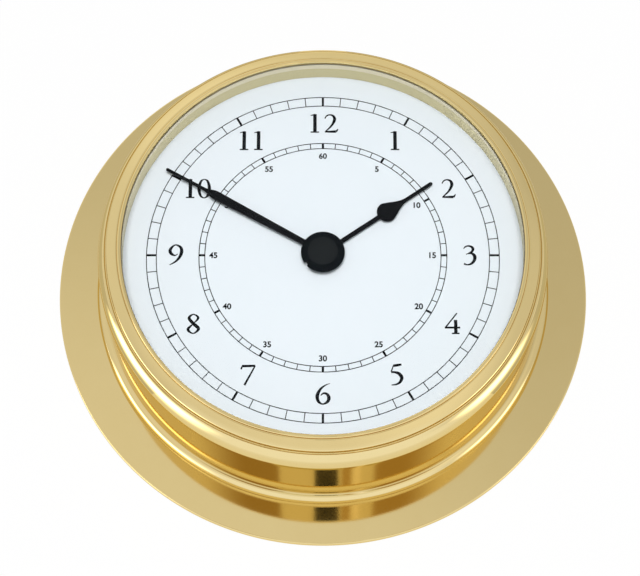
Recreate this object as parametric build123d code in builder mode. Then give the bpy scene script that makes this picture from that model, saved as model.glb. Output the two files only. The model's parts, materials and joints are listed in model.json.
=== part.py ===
"""Brass bulkhead clock with a quartz movement, lying on its back.

The origin is the centre of the flange's back face. +Z points out through the glass and
+Y to twelve o'clock. All lengths are millimetres and all angles are degrees.
"""
import os
from math import cos, radians, sin

from build123d import *

os.makedirs("parts", exist_ok=True)

# Shared allowances
overrun = 1.0               # how far a cut runs past the face it opens
slip = 0.05                 # radial room of a part that is slid over another
running = 0.05              # radial room of a turning shaft in its bearing
pocket_room = 0.25          # radial room of a loose part in its pocket

# Base flange
flange_radius = 75.0
flange_thickness = 1.5
flange_edge_round = 0.4
back_land_width = 29.0      # rim of the flange in to its back opening
wall_screw_inset = 6.0      # back opening out to the wall screws
wall_screw_hole_radius = 2.25
wall_screw_count = 3
wall_screw_start = 90.0

# Drum and its foot bead
flange_margin = 13.4        # rim of the flange in to the drum
drum_wall = 4.2
bead_radius = 2.1
bead_lift = 1.4             # bead centre above the flange
bead_bite = 1.75            # how far the bead sinks into the wall
neck_step = 3.1             # drum in to the neck that carries the bezel
neck_wall = 1.3
dial_seat_width = 5.0
dial_seat_thickness = 1.5

# Screws that hold the drum to the flange
base_screw_count = 4
base_screw_start = 45.0
base_screw_radius = 0.95
base_screw_length = 3.4
base_screw_head_radius = 1.9
base_screw_head_height = 0.9
base_screw_slot_width = 0.5
base_screw_slot_depth = 0.45

# Dial and what lies on it
dial_height = 25.2          # face of the dial above the wall
dial_thickness = 0.8
dial_room = 0.2
reflector_height = 7.0
reflector_foot_width = 2.1
reflector_top_width = 1.7
crystal_inset = 2.5         # neck in to the edge of the crystal
crystal_thickness = 2.0
crystal_edge = 0.3
gasket_thickness = 0.3
gasket_width = 1.55

# Bezel ring
lip_overlap = 1.35          # how far the lip covers the crystal
lip_thickness = 1.2
lip_width = 1.05
groove_width = 0.3
groove_depth = 0.25
land_drop = 1.75            # lip top down to the outer edge of the land
land_crown = 0.08           # how far the land swells above its chord
step_overhang = 0.3         # neck out to the step below the land
step_height = 0.9
skirt_height = 1.8          # straight foot, flush with the drum, below the rounded shoulder

# Hands
hour_angle = 55.0           # clockwise from twelve
minute_angle = 300.0
hand_thickness = 0.4
hour_gap = 0.25             # nut to hour hand
minute_gap = 0.35           # hour hand to minute hand
hour_tip_room = 20.0        # tip of the hand to the edge of the dial
hour_boss_radius = 3.4
hour_rod_width = 1.3
hour_spear_length = 15.4    # widest part of the bulb to the tip
hour_bulb_width = 5.7
hour_bulb_back = 2.7        # where the rod enters the bulb to its widest part
hour_taper_length = 6.7
hour_tip_width = 1.0
minute_tip_room = 6.7
minute_boss_radius = 2.9
minute_rod_width = 1.55
minute_spear_length = 16.2
minute_wide_width = 2.6
minute_taper_length = 3.9
minute_tip_width = 0.9
cap_radius = 6.0
cap_top_radius = 4.1
cap_bevel_height = 0.65
cap_rim_height = 0.25
cap_notch_angle = 232.0
cap_notch_width = 1.0
cap_notch_depth = 1.0

# Movement box
housing_wall = 1.0
housing_corner = 3.0
cover_thickness = 1.2
cover_room = 1.6            # cover to the lowest pinion
washer_thickness = 0.5
washer_radius = 9.0
partition_room = 2.86       # centre wheel to the wall beside the battery
post_radius = 1.6

# Centre of the movement
bush_radius = 3.9
bush_flange_radius = 5.5
bush_flange_thickness = 1.0
nut_radius = 5.0
nut_height = 0.9
nut_slot_width = 1.0
nut_slot_depth = 0.5
hour_tube_radius = 2.0
hour_tube_rise = 0.1        # tube above its hand
minute_arbor_radius = 0.9
minute_arbor_rise = 0.4
bearing_depth = 0.7

# Wheels: modules, tooth counts and tooth form
motion_module = 0.35
cannon_teeth = 10
motion_wheel_teeth = 30
motion_pinion_teeth = 8
hour_wheel_teeth = 32
knob_pinion_teeth = 10
centre_module = 0.33
centre_wheel_teeth = 45
third_pinion_teeth = 6
third_module = 0.27
third_wheel_teeth = 48
fourth_pinion_teeth = 6
fourth_module = 0.33
fourth_wheel_teeth = 36
fifth_pinion_teeth = 6
rotor_module = 0.30
fifth_wheel_teeth = 30
rotor_pinion_teeth = 6
wheel_addendum_share = 0.95
wheel_dedendum_share = 1.25
pinion_addendum_share = 0.60
pinion_dedendum_share = 1.40
wheel_tooth_share = 0.42
pinion_leaf_share = 0.36
tooth_tip_share = 0.35

# Directions from each arbor to the next
motion_direction = 45.0
knob_direction = 0.0
third_direction = 150.0
fourth_direction = 100.0
fifth_direction = 165.0
rotor_direction = 180.0

# Heights of the motion work and the going train
hour_wheel_gap = 0.4
hour_wheel_thickness = 1.0
motion_gap = 0.6
motion_wheel_thickness = 1.2
plate_gap = 0.6
plate_thickness = 1.2
train_gap = 1.2             # plate to the centre wheel
train_wheel_thickness = 0.8
train_wheel_gap = 1.0
pinion_margin = 0.4         # pinion past each face of the wheel it drives
train_arbor_radius = 0.5
train_pivot_radius = 0.3
train_pivot_length = 0.7
motion_post_radius = 0.8
motion_post_margin = 0.3
clutch_spring_thickness = 0.4
clutch_spring_radius = 2.4
clutch_collar_radius = 1.4
clutch_collar_height = 0.6

# Setting knob
knob_radius = 6.0
knob_thickness = 2.8
knob_gap = 0.4
knob_shaft_radius = 1.2
knob_flute_radius = 0.6
knob_flute_count = 16

# Wheel plate
plate_side_room = 1.05      # stator to the left edge of the plate
plate_knob_room = 6.05      # axis of the knob to the right edge of the plate
plate_coil_room = 1.6
plate_partition_room = 0.6
post_inset = 2.0

# Stepping motor
magnet_radius = 2.4
magnet_height = 1.0
magnet_gap = 0.3
stator_thickness = 0.8
stator_bore_radius = 2.8
stator_ring_radius = 4.3
stator_leg_width = 3.0
stator_bar_width = 2.2
stator_bar_rise = 4.1       # axis of the rotor to the middle of the bar
motor_side_room = 2.05      # stator to the side wall of the housing
coil_rise = 9.5             # axis of the rotor to the axis of the coil
coil_room = 0.8             # coil to the top wall of the housing
core_width = 3.0
core_length = 24.0
core_thickness = 0.8
bobbin_radius = 2.2
bobbin_flange_radius = 3.5
bobbin_flange_thickness = 0.8
bobbin_end_gap = 1.4        # bobbin to the stator's legs
winding_radius = 3.2
winding_room = 0.05

# Circuit board
board_coil_room = 3.0       # coil core to the board
board_side_room = 2.0       # board to the side wall of the housing
board_top_room = 0.7        # board to the top wall of the housing
board_width = 7.2
board_thickness = 1.0
board_post_height = 5.4
board_post_radius = 1.2
chip_radius = 2.0
chip_height = 0.9
chip_at_share = 0.28
can_radius = 1.0
can_length = 6.0
can_at_share = 0.70

# Battery
battery_radius = 7.1
battery_length = 49.0
battery_cap_radius = 2.75
battery_cap_length = 1.0
battery_edge = 0.6
battery_front_room = 0.25
battery_partition_room = 0.7
battery_wall_room = 0.5
contact_thickness = 0.4
contact_width = 9.0
contact_height = 10.0
contact_bump_radius = 2.6
contact_bump_top_share = 0.55
contact_bump_plus = 0.8
contact_bump_minus = 2.4

# Radii worked out from the flange inwards
back_opening_radius = flange_radius - back_land_width
wall_screw_circle_radius = back_opening_radius + wall_screw_inset
drum_radius = flange_radius - flange_margin
drum_inner_radius = drum_radius - drum_wall
neck_radius = drum_radius - neck_step
neck_inner_radius = neck_radius - neck_wall
dial_radius = neck_inner_radius - dial_room
reflector_foot_radius = dial_radius - reflector_foot_width
reflector_top_radius = dial_radius - reflector_top_width
crystal_radius = neck_radius - crystal_inset
gasket_radius = crystal_radius - gasket_width
lip_radius = crystal_radius - lip_overlap
step_radius = neck_radius + step_overhang
hour_tip = dial_radius - hour_tip_room
hour_bulb_at = hour_tip - hour_spear_length
hour_taper_end = hour_bulb_at + hour_taper_length
minute_tip = dial_radius - minute_tip_room
minute_wide_at = minute_tip - minute_spear_length
minute_taper_end = minute_wide_at + minute_taper_length

# Heights worked out from the stack, wall to glass
dial_back = dial_height - dial_thickness
reflector_top = dial_height + reflector_height
crystal_top = reflector_top + crystal_thickness
lip_bottom = crystal_top + gasket_thickness
lip_top = lip_bottom + lip_thickness
neck_top = reflector_top
housing_front = dial_back - washer_thickness
front_inner = housing_front - housing_wall

nut_top = dial_height + nut_height
hour_hand_low = nut_top + hour_gap
hour_tube_top = hour_hand_low + hand_thickness + hour_tube_rise
minute_hand_low = hour_hand_low + hand_thickness + minute_gap
cap_low = minute_hand_low + hand_thickness
minute_arbor_top = cap_low + minute_arbor_rise

hour_wheel_top = front_inner - bush_flange_thickness - hour_wheel_gap
hour_wheel_low = hour_wheel_top - hour_wheel_thickness
motion_wheel_top = hour_wheel_low - motion_gap
motion_wheel_low = motion_wheel_top - motion_wheel_thickness
plate_front = motion_wheel_low - plate_gap
plate_back = plate_front - plate_thickness
centre_wheel_top = plate_back - train_gap
centre_wheel_low = centre_wheel_top - train_wheel_thickness
third_wheel_top = centre_wheel_low - train_wheel_gap
third_wheel_low = third_wheel_top - train_wheel_thickness
fourth_wheel_top = third_wheel_low - train_wheel_gap
fourth_wheel_low = fourth_wheel_top - train_wheel_thickness
fifth_wheel_low = fourth_wheel_top + pinion_margin + train_wheel_gap
fifth_wheel_top = fifth_wheel_low + train_wheel_thickness
stator_low = plate_back - stator_thickness
magnet_top = plate_back - magnet_gap
magnet_low = magnet_top - magnet_height
cover_inner = fourth_wheel_low - pinion_margin - cover_room
housing_back = cover_inner - cover_thickness


def step_away(start, direction, distance):
    """The place at a distance from another place, in a direction."""
    turn = radians(direction)
    return (start[0] + distance * cos(turn), start[1] + distance * sin(turn))


def centre_distance(module, teeth, other_teeth):
    """How far apart two meshing wheels stand."""
    return module * (teeth + other_teeth) / 2


def meshing_phase(direction, teeth, phase, other_teeth):
    """Angle of a tooth of the other wheel, so that its gap meets a tooth of the first."""
    pitch = 360 / teeth
    behind = (direction - phase) % pitch
    return direction + 180 + behind * teeth / other_teeth + 180 / other_teeth


# Places of the arbors
centre_place = (0, 0)
motion_place = step_away(
    centre_place, motion_direction, centre_distance(motion_module, cannon_teeth, motion_wheel_teeth)
)
knob_place = step_away(
    motion_place, knob_direction, centre_distance(motion_module, motion_wheel_teeth, knob_pinion_teeth)
)
third_place = step_away(
    centre_place, third_direction, centre_distance(centre_module, centre_wheel_teeth, third_pinion_teeth)
)
fourth_place = step_away(
    third_place, fourth_direction, centre_distance(third_module, third_wheel_teeth, fourth_pinion_teeth)
)
fifth_place = step_away(
    fourth_place, fifth_direction, centre_distance(fourth_module, fourth_wheel_teeth, fifth_pinion_teeth)
)
rotor_place = step_away(
    fifth_place, rotor_direction, centre_distance(rotor_module, fifth_wheel_teeth, rotor_pinion_teeth)
)

# Places in the movement, worked out from the motor, the centre wheel and the battery
stator_left = rotor_place[0] - stator_ring_radius
core_at = rotor_place[1] + coil_rise
core_right = stator_left + core_length
partition_at = -centre_module * (centre_wheel_teeth / 2 + wheel_addendum_share) - partition_room
partition_outer = partition_at - housing_wall
battery_at = partition_outer - battery_partition_room - battery_radius
bay_length = (
    battery_length + battery_cap_length + contact_bump_plus + contact_bump_minus + 2 * contact_thickness
)
inner_left = stator_left - motor_side_room
inner_right = inner_left + bay_length
inner_top = core_at + bobbin_flange_radius + coil_room
inner_bottom = battery_at - battery_radius - battery_wall_room
plate_left = stator_left - plate_side_room
plate_right = knob_place[0] + plate_knob_room
plate_top = core_at - bobbin_flange_radius - plate_coil_room
plate_low = partition_at + plate_partition_room
board_left = core_right + board_coil_room
board_length = inner_right - board_side_room - board_left
board_at = inner_top - board_top_room - board_width / 2
board_height = cover_inner + board_post_height

# Tooth phases, so that every pair is in mesh at rest
cannon_phase = 0
motion_phase = meshing_phase(motion_direction, cannon_teeth, cannon_phase, motion_wheel_teeth)
knob_phase = meshing_phase(knob_direction, motion_wheel_teeth, motion_phase, knob_pinion_teeth)
hour_phase = 0
motion_pinion_phase = meshing_phase(motion_direction, hour_wheel_teeth, hour_phase, motion_pinion_teeth)
centre_phase = 0
third_pinion_phase = meshing_phase(third_direction, centre_wheel_teeth, centre_phase, third_pinion_teeth)
third_phase = 0
fourth_pinion_phase = meshing_phase(fourth_direction, third_wheel_teeth, third_phase, fourth_pinion_teeth)
fourth_phase = 0
fifth_pinion_phase = meshing_phase(fifth_direction, fourth_wheel_teeth, fourth_phase, fifth_pinion_teeth)
fifth_phase = 0
rotor_phase = meshing_phase(rotor_direction, fifth_wheel_teeth, fifth_phase, rotor_pinion_teeth)


def tooth_corners(module, teeth, phase, addendum_share, dedendum_share, tooth_share):
    """Corner points of a toothed rim: radial flanks below the pitch circle, pointed above it."""
    pitch_radius = module * teeth / 2
    root_radius = pitch_radius - dedendum_share * module
    tip_radius = pitch_radius + addendum_share * module
    half_tooth = tooth_share * 180 / teeth
    half_tip = half_tooth * tooth_tip_share
    corners = []
    for tooth in range(teeth):
        middle = phase + tooth * 360 / teeth
        for radius, turn in (
            (root_radius, -half_tooth),
            (pitch_radius, -half_tooth),
            (tip_radius, -half_tip),
            (tip_radius, half_tip),
            (pitch_radius, half_tooth),
            (root_radius, half_tooth),
        ):
            corners.append(step_away(centre_place, middle + turn, radius))
    return corners


def toothed_disc(place, low, high, corners):
    """Add a disc with a toothed rim to the part being built."""
    with BuildSketch(Plane((*place, low))) as section:
        with BuildLine():
            Polyline(*corners, close=True)
        make_face()
    extrude(section.sketch, amount=high - low)


def wheel(place, low, high, module, teeth, phase):
    """Add a wheel to the part being built."""
    corners = tooth_corners(
        module, teeth, phase, wheel_addendum_share, wheel_dedendum_share, wheel_tooth_share
    )
    toothed_disc(place, low, high, corners)


def pinion(place, low, high, module, teeth, phase):
    """Add a pinion to the part being built."""
    corners = tooth_corners(
        module, teeth, phase, pinion_addendum_share, pinion_dedendum_share, pinion_leaf_share
    )
    toothed_disc(place, low, high, corners)


def shaft(place, low, high, radius, mode=Mode.ADD):
    """Add, or cut, a round shaft that stands upright."""
    with BuildSketch(Plane((*place, low))) as section:
        Circle(radius)
    extrude(section.sketch, amount=high - low, mode=mode)


def bore(place, low, high, radius):
    """Cut a round hole from one height to another."""
    shaft(place, low, high, radius, Mode.SUBTRACT)


def train_arbor(place):
    """Add an arbor that runs from the cover to the wheel plate, with a pivot at each end."""
    shaft(place, cover_inner - train_pivot_length, plate_back + train_pivot_length, train_pivot_radius)
    shaft(place, cover_inner + running, plate_back - running, train_arbor_radius)


def finish(piece, name):
    """Label a finished piece and write it."""
    piece.part.label = name
    export_step(piece.part, f"parts/{name}.step")


def hand_plane(height, clock_angle):
    """Plane of a hand, with its Y axis along the hand."""
    return Plane((0, 0, height)).rotated((0, 0, -clock_angle))


# Base flange
base_screw_circle_radius = (drum_radius + drum_inner_radius) / 2

with BuildPart() as base_flange:
    with BuildSketch():
        Circle(flange_radius)
        Circle(back_opening_radius, mode=Mode.SUBTRACT)
        with PolarLocations(wall_screw_circle_radius, wall_screw_count, wall_screw_start):
            Circle(wall_screw_hole_radius, mode=Mode.SUBTRACT)
        with PolarLocations(base_screw_circle_radius, base_screw_count, base_screw_start):
            Circle(base_screw_radius + slip, mode=Mode.SUBTRACT)
    extrude(amount=flange_thickness)
    rim = base_flange.edges().filter_by(GeomType.CIRCLE).group_by(SortBy.RADIUS)[-1]
    fillet(rim.sort_by(Axis.Z)[-1], flange_edge_round)
    with BuildSketch():
        with PolarLocations(base_screw_circle_radius, base_screw_count, base_screw_start):
            Circle(base_screw_head_radius + slip)
    extrude(amount=base_screw_head_height, taper=45, mode=Mode.SUBTRACT)
finish(base_flange, "base_flange")

# Case drum: foot bead, straight wall and the neck that carries the bezel
bead_centre = (drum_radius + bead_radius - bead_bite, flange_thickness + bead_lift)

with BuildPart() as case_drum:
    with BuildSketch(Plane.XZ):
        with BuildLine():
            Polyline(
                (drum_inner_radius, flange_thickness),
                (bead_centre[0], flange_thickness),
                (bead_centre[0], bead_centre[1]),
                (drum_radius, bead_centre[1]),
                (drum_radius, dial_back),
                (neck_radius, dial_back),
                (neck_radius, neck_top),
                (neck_inner_radius, neck_top),
                (neck_inner_radius, dial_back),
                (drum_inner_radius, dial_back),
                close=True,
            )
        make_face()
        with Locations(bead_centre):
            Circle(bead_radius)
        with Locations((bead_centre[0], flange_thickness)):
            Rectangle(
                2 * bead_radius + overrun,
                bead_radius + overrun,
                align=(Align.CENTER, Align.MAX),
                mode=Mode.SUBTRACT,
            )
    revolve(axis=Axis.Z)
    with BuildSketch():
        with PolarLocations(base_screw_circle_radius, base_screw_count, base_screw_start):
            Circle(base_screw_radius + slip)
    extrude(amount=base_screw_length + slip, mode=Mode.SUBTRACT)
finish(case_drum, "case_drum")

# Seat ring for the dial, pressed into the drum against its neck
with BuildPart() as dial_seat_ring:
    with BuildSketch(Plane.XY.offset(dial_back)):
        Circle(drum_inner_radius - slip)
        Circle(drum_inner_radius - slip - dial_seat_width, mode=Mode.SUBTRACT)
    extrude(amount=-dial_seat_thickness)
finish(dial_seat_ring, "dial_seat_ring")

# Countersunk screws, from the back of the flange into the drum's foot
with BuildPart() as base_screws:
    with BuildSketch():
        with PolarLocations(base_screw_circle_radius, base_screw_count, base_screw_start):
            Circle(base_screw_radius)
    extrude(amount=base_screw_length)
    with BuildSketch():
        with PolarLocations(base_screw_circle_radius, base_screw_count, base_screw_start):
            Circle(base_screw_head_radius)
    extrude(amount=base_screw_head_height, taper=45)
    with BuildSketch():
        with PolarLocations(base_screw_circle_radius, base_screw_count, base_screw_start):
            Rectangle(2 * base_screw_head_radius, base_screw_slot_width)
    extrude(amount=base_screw_slot_depth, mode=Mode.SUBTRACT)
finish(base_screws, "base_screws")

# Bezel ring
land_edge = lip_top - land_drop
step_foot = land_edge - step_height
skirt_top = dial_back + skirt_height
groove_start = lip_radius + lip_width
land_start = groove_start + groove_width
land_start_height = lip_top - groove_depth
land_middle = ((land_start + step_radius) / 2, (land_start_height + land_edge) / 2 + land_crown)
crystal_pocket_radius = crystal_radius + pocket_room

with BuildPart() as bezel_ring:
    with BuildSketch(Plane.XZ):
        with BuildLine():
            Polyline(
                (neck_radius + slip, dial_back),
                (drum_radius, dial_back),
                (drum_radius, skirt_top),
            )
            EllipticalCenterArc(
                (step_radius, skirt_top),
                drum_radius - step_radius,
                step_foot - skirt_top,
                arc_size=90,
            )
            Line((step_radius, step_foot), (step_radius, land_edge))
            ThreePointArc((step_radius, land_edge), land_middle, (land_start, land_start_height))
            Polyline(
                (land_start, land_start_height),
                (groove_start, land_start_height - groove_depth),
                (groove_start, lip_top - groove_depth),
            )
            ThreePointArc(
                (groove_start, lip_top - groove_depth),
                (lip_radius + lip_width / 2, lip_top),
                (lip_radius, lip_top - groove_depth),
            )
            Polyline(
                (lip_radius, lip_top - groove_depth),
                (lip_radius, lip_bottom),
                (crystal_pocket_radius, lip_bottom),
                (crystal_pocket_radius, neck_top + slip),
                (neck_radius + slip, neck_top + slip),
                (neck_radius + slip, dial_back),
            )
        make_face()
    revolve(axis=Axis.Z)
finish(bezel_ring, "bezel_ring")

# Crystal and the gasket that the lip presses on it
with BuildPart() as crystal:
    with BuildSketch(Plane.XY.offset(reflector_top)):
        Circle(crystal_radius)
    extrude(amount=crystal_thickness)
    chamfer(crystal.edges().filter_by(GeomType.CIRCLE), crystal_edge)
finish(crystal, "crystal")

with BuildPart() as crystal_gasket:
    with BuildSketch(Plane.XY.offset(crystal_top)):
        Circle(crystal_radius)
        Circle(gasket_radius, mode=Mode.SUBTRACT)
    extrude(amount=gasket_thickness)
finish(crystal_gasket, "crystal_gasket")

# Reflector ring between the crystal and the dial
with BuildPart() as reflector_ring:
    with BuildSketch(Plane.XZ):
        with BuildLine():
            Polyline(
                (reflector_foot_radius, dial_height),
                (dial_radius, dial_height),
                (dial_radius, reflector_top),
                (reflector_top_radius, reflector_top),
                close=True,
            )
        make_face()
    revolve(axis=Axis.Z)
finish(reflector_ring, "reflector_ring")

# Dial and the rubber washer behind it
with BuildPart() as dial_plate:
    with BuildSketch(Plane.XY.offset(dial_back)):
        Circle(dial_radius)
        Circle(bush_radius + slip, mode=Mode.SUBTRACT)
    extrude(amount=dial_thickness)
finish(dial_plate, "dial_plate")

with BuildPart() as dial_washer:
    with BuildSketch(Plane.XY.offset(housing_front)):
        Circle(washer_radius)
        Circle(bush_radius + slip, mode=Mode.SUBTRACT)
    extrude(amount=washer_thickness)
finish(dial_washer, "dial_washer")

# Hour hand: a thin rod, a spade and a long narrow tip
with BuildPart() as hour_hand:
    with BuildSketch(hand_plane(hour_hand_low, hour_angle)):
        with BuildLine():
            rod_end = (hour_rod_width / 2, hour_bulb_at - hour_bulb_back)
            Polyline((0, 0), (hour_rod_width / 2, 0), rod_end)
            TangentArc((hour_bulb_width / 2, hour_bulb_at), rod_end, tangent=(0, -1))
            Spline(
                (hour_bulb_width / 2, hour_bulb_at),
                (hour_tip_width / 2, hour_taper_end),
                tangents=((0, 1), (0, 1)),
            )
            tip_start = (hour_tip_width / 2, hour_tip - hour_tip_width / 2)
            Line((hour_tip_width / 2, hour_taper_end), tip_start)
            RadiusArc(tip_start, (0, hour_tip), -hour_tip_width / 2)
            Line((0, hour_tip), (0, 0))
        make_face()
        mirror(about=Plane.YZ)
        Circle(hour_boss_radius)
        Circle(hour_tube_radius, mode=Mode.SUBTRACT)
    extrude(amount=hand_thickness)
finish(hour_hand, "hour_hand")

# Minute hand: a rod that widens, then narrows quickly to a long tip
with BuildPart() as minute_hand:
    with BuildSketch(hand_plane(minute_hand_low, minute_angle)):
        with BuildLine():
            Polyline((0, 0), (minute_rod_width / 2, 0), (minute_wide_width / 2, minute_wide_at))
            Spline(
                (minute_wide_width / 2, minute_wide_at),
                (minute_tip_width / 2, minute_taper_end),
                tangents=((0, 1), (0, 1)),
            )
            tip_start = (minute_tip_width / 2, minute_tip - minute_tip_width / 2)
            Line((minute_tip_width / 2, minute_taper_end), tip_start)
            RadiusArc(tip_start, (0, minute_tip), -minute_tip_width / 2)
            Line((0, minute_tip), (0, 0))
        make_face()
        mirror(about=Plane.YZ)
        Circle(minute_boss_radius)
        Circle(minute_arbor_radius, mode=Mode.SUBTRACT)
    extrude(amount=hand_thickness)
finish(minute_hand, "minute_hand")

# Hub cap with a bevelled edge and a notch
with BuildPart() as hand_cap:
    with BuildSketch(Plane.XZ):
        with BuildLine():
            Polyline(
                (0, cap_low),
                (cap_radius, cap_low),
                (cap_radius, cap_low + cap_rim_height),
                (cap_top_radius, cap_low + cap_rim_height + cap_bevel_height),
                (0, cap_low + cap_rim_height + cap_bevel_height),
                close=True,
            )
        make_face()
    revolve(axis=Axis.Z)
    with BuildSketch(hand_plane(cap_low, cap_notch_angle)):
        with Locations((0, cap_radius - cap_notch_depth)):
            Rectangle(cap_notch_width, cap_radius, align=(Align.CENTER, Align.MIN))
    extrude(amount=cap_rim_height + cap_bevel_height, mode=Mode.SUBTRACT)
    bore(centre_place, cap_low, minute_arbor_top, minute_arbor_radius)
finish(hand_cap, "hand_cap")

# Movement housing: a box open to the back, with the battery bay along its lower side
housing_middle = ((inner_left + inner_right) / 2, (inner_bottom + inner_top) / 2)
inner_width = inner_right - inner_left
inner_height = inner_top - inner_bottom
outer_width = inner_width + 2 * housing_wall
outer_height = inner_height + 2 * housing_wall
post_places = [
    (plate_left + post_inset, plate_low + post_inset),
    (plate_right - post_inset, plate_low + post_inset),
    (plate_right - post_inset, plate_top - post_inset),
]

with BuildPart() as movement_housing:
    with BuildSketch(Plane((*housing_middle, cover_inner))):
        RectangleRounded(outer_width, outer_height, housing_corner)
    extrude(amount=housing_front - cover_inner)
    with BuildSketch(Plane((housing_middle[0], 0, cover_inner))):
        with Locations((0, housing_middle[1])):
            RectangleRounded(inner_width, inner_height, housing_corner - housing_wall)
        with Locations((0, partition_at)):
            Rectangle(outer_width, housing_wall, align=(Align.CENTER, Align.MAX), mode=Mode.SUBTRACT)
    extrude(amount=front_inner - cover_inner, mode=Mode.SUBTRACT)
    for place in post_places:
        shaft(place, plate_front, front_inner, post_radius)
    bore(centre_place, front_inner - overrun, housing_front + overrun, bush_radius + slip)
finish(movement_housing, "movement_housing")

# Movement cover: closes the train side and leaves the battery open
board_post_places = [
    (board_left + board_post_radius, board_at),
    (board_left + board_length - board_post_radius, board_at),
]

with BuildPart() as movement_cover:
    with BuildSketch(Plane((housing_middle[0], 0, housing_back))):
        with Locations((0, housing_middle[1])):
            RectangleRounded(outer_width, outer_height, housing_corner)
        with Locations((0, partition_outer)):
            Rectangle(
                inner_width,
                partition_outer - inner_bottom,
                align=(Align.CENTER, Align.MAX),
                mode=Mode.SUBTRACT,
            )
    extrude(amount=cover_thickness)
    for place in post_places:
        shaft(place, cover_inner, plate_back, post_radius)
    for place in board_post_places:
        shaft(place, cover_inner, board_height, board_post_radius)
    for place in (third_place, fourth_place, fifth_place, rotor_place):
        bore(place, cover_inner - train_pivot_length, cover_inner, train_pivot_radius + running)
    bore(centre_place, cover_inner - bearing_depth, cover_inner, minute_arbor_radius + running)
    bore(knob_place, housing_back - overrun, cover_inner, knob_shaft_radius + running)
finish(movement_cover, "movement_cover")

# Centre bush and the round nut that clamps the dial
with BuildPart() as centre_bush:
    shaft(centre_place, front_inner - bush_flange_thickness, front_inner, bush_flange_radius)
    shaft(centre_place, front_inner, nut_top, bush_radius)
    bush_low = front_inner - bush_flange_thickness
    bore(centre_place, bush_low - overrun, nut_top + overrun, hour_tube_radius + running)
finish(centre_bush, "centre_bush")

with BuildPart() as bush_nut:
    shaft(centre_place, dial_height, nut_top, nut_radius)
    bore(centre_place, dial_height - overrun, nut_top + overrun, bush_radius + slip)
    with BuildSketch(Plane.XY.offset(nut_top)):
        Rectangle(2 * nut_radius, nut_slot_width)
    extrude(amount=-nut_slot_depth, mode=Mode.SUBTRACT)
finish(bush_nut, "bush_nut")

# Minute arbor with the cannon pinion and the clutch collar
with BuildPart() as minute_arbor:
    shaft(centre_place, cover_inner - bearing_depth + running, minute_arbor_top, minute_arbor_radius)
    pinion(centre_place, motion_wheel_low, motion_wheel_top, motion_module, cannon_teeth, cannon_phase)
    collar_top = centre_wheel_low - clutch_spring_thickness
    shaft(centre_place, collar_top - clutch_collar_height, collar_top, clutch_collar_radius)
finish(minute_arbor, "minute_arbor")

# Friction spring between the collar and the centre wheel
with BuildPart() as clutch_spring:
    shaft(centre_place, collar_top, centre_wheel_low, clutch_spring_radius)
    bore(centre_place, collar_top - overrun, centre_wheel_low, minute_arbor_radius + slip)
finish(clutch_spring, "clutch_spring")

# Hour wheel with the tube that carries the hour hand
with BuildPart() as hour_wheel:
    wheel(centre_place, hour_wheel_low, hour_wheel_top, motion_module, hour_wheel_teeth, hour_phase)
    shaft(centre_place, hour_wheel_top, hour_tube_top, hour_tube_radius)
    hour_bore_radius = minute_arbor_radius + running
    bore(centre_place, hour_wheel_low - overrun, hour_tube_top + overrun, hour_bore_radius)
finish(hour_wheel, "hour_wheel")

# Motion wheel and its pinion, which turns on a post of the wheel plate
motion_pinion_top = hour_wheel_top + motion_post_margin

with BuildPart() as motion_wheel:
    wheel(motion_place, motion_wheel_low, motion_wheel_top, motion_module, motion_wheel_teeth, motion_phase)
    pinion(
        motion_place,
        motion_wheel_top,
        motion_pinion_top,
        motion_module,
        motion_pinion_teeth,
        motion_pinion_phase,
    )
    motion_bore_radius = motion_post_radius + running
    bore(motion_place, motion_wheel_low - overrun, motion_pinion_top + overrun, motion_bore_radius)
finish(motion_wheel, "motion_wheel")

# Setting knob, its shaft and its pinion
knob_top = housing_back - knob_gap

with BuildPart() as setting_knob:
    shaft(knob_place, knob_top - knob_thickness, knob_top, knob_radius)
    with BuildSketch(Plane((*knob_place, knob_top))):
        with PolarLocations(knob_radius, knob_flute_count):
            Circle(knob_flute_radius)
    extrude(amount=-knob_thickness, mode=Mode.SUBTRACT)
    shaft(knob_place, knob_top, motion_wheel_top, knob_shaft_radius)
    pinion(knob_place, motion_wheel_low, motion_wheel_top, motion_module, knob_pinion_teeth, knob_phase)
finish(setting_knob, "setting_knob")

# Wheel plate
with BuildPart() as wheel_plate:
    with BuildSketch(Plane.XY.offset(plate_back)):
        with Locations((plate_left, plate_low)):
            Rectangle(plate_right - plate_left, plate_top - plate_low, align=(Align.MIN, Align.MIN))
    extrude(amount=plate_thickness)
    shaft(motion_place, plate_front, motion_pinion_top + motion_post_margin, motion_post_radius)
    for place in (third_place, fourth_place, fifth_place, rotor_place):
        bore(place, plate_back - overrun, plate_front, train_pivot_radius + running)
    bore(centre_place, plate_back - overrun, plate_front, minute_arbor_radius + running)
    bore(knob_place, plate_back - overrun, plate_front, knob_shaft_radius + running)
finish(wheel_plate, "wheel_plate")

# Going train
with BuildPart() as centre_wheel:
    wheel(centre_place, centre_wheel_low, centre_wheel_top, centre_module, centre_wheel_teeth, centre_phase)
    bore(centre_place, centre_wheel_low - overrun, centre_wheel_top, minute_arbor_radius + running)
finish(centre_wheel, "centre_wheel")

with BuildPart() as third_wheel:
    train_arbor(third_place)
    wheel(third_place, third_wheel_low, third_wheel_top, third_module, third_wheel_teeth, third_phase)
    pinion(
        third_place,
        centre_wheel_low - pinion_margin,
        centre_wheel_top + pinion_margin,
        centre_module,
        third_pinion_teeth,
        third_pinion_phase,
    )
finish(third_wheel, "third_wheel")

with BuildPart() as fourth_wheel:
    train_arbor(fourth_place)
    wheel(fourth_place, fourth_wheel_low, fourth_wheel_top, fourth_module, fourth_wheel_teeth, fourth_phase)
    pinion(
        fourth_place,
        third_wheel_low - pinion_margin,
        third_wheel_top + pinion_margin,
        third_module,
        fourth_pinion_teeth,
        fourth_pinion_phase,
    )
finish(fourth_wheel, "fourth_wheel")

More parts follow.
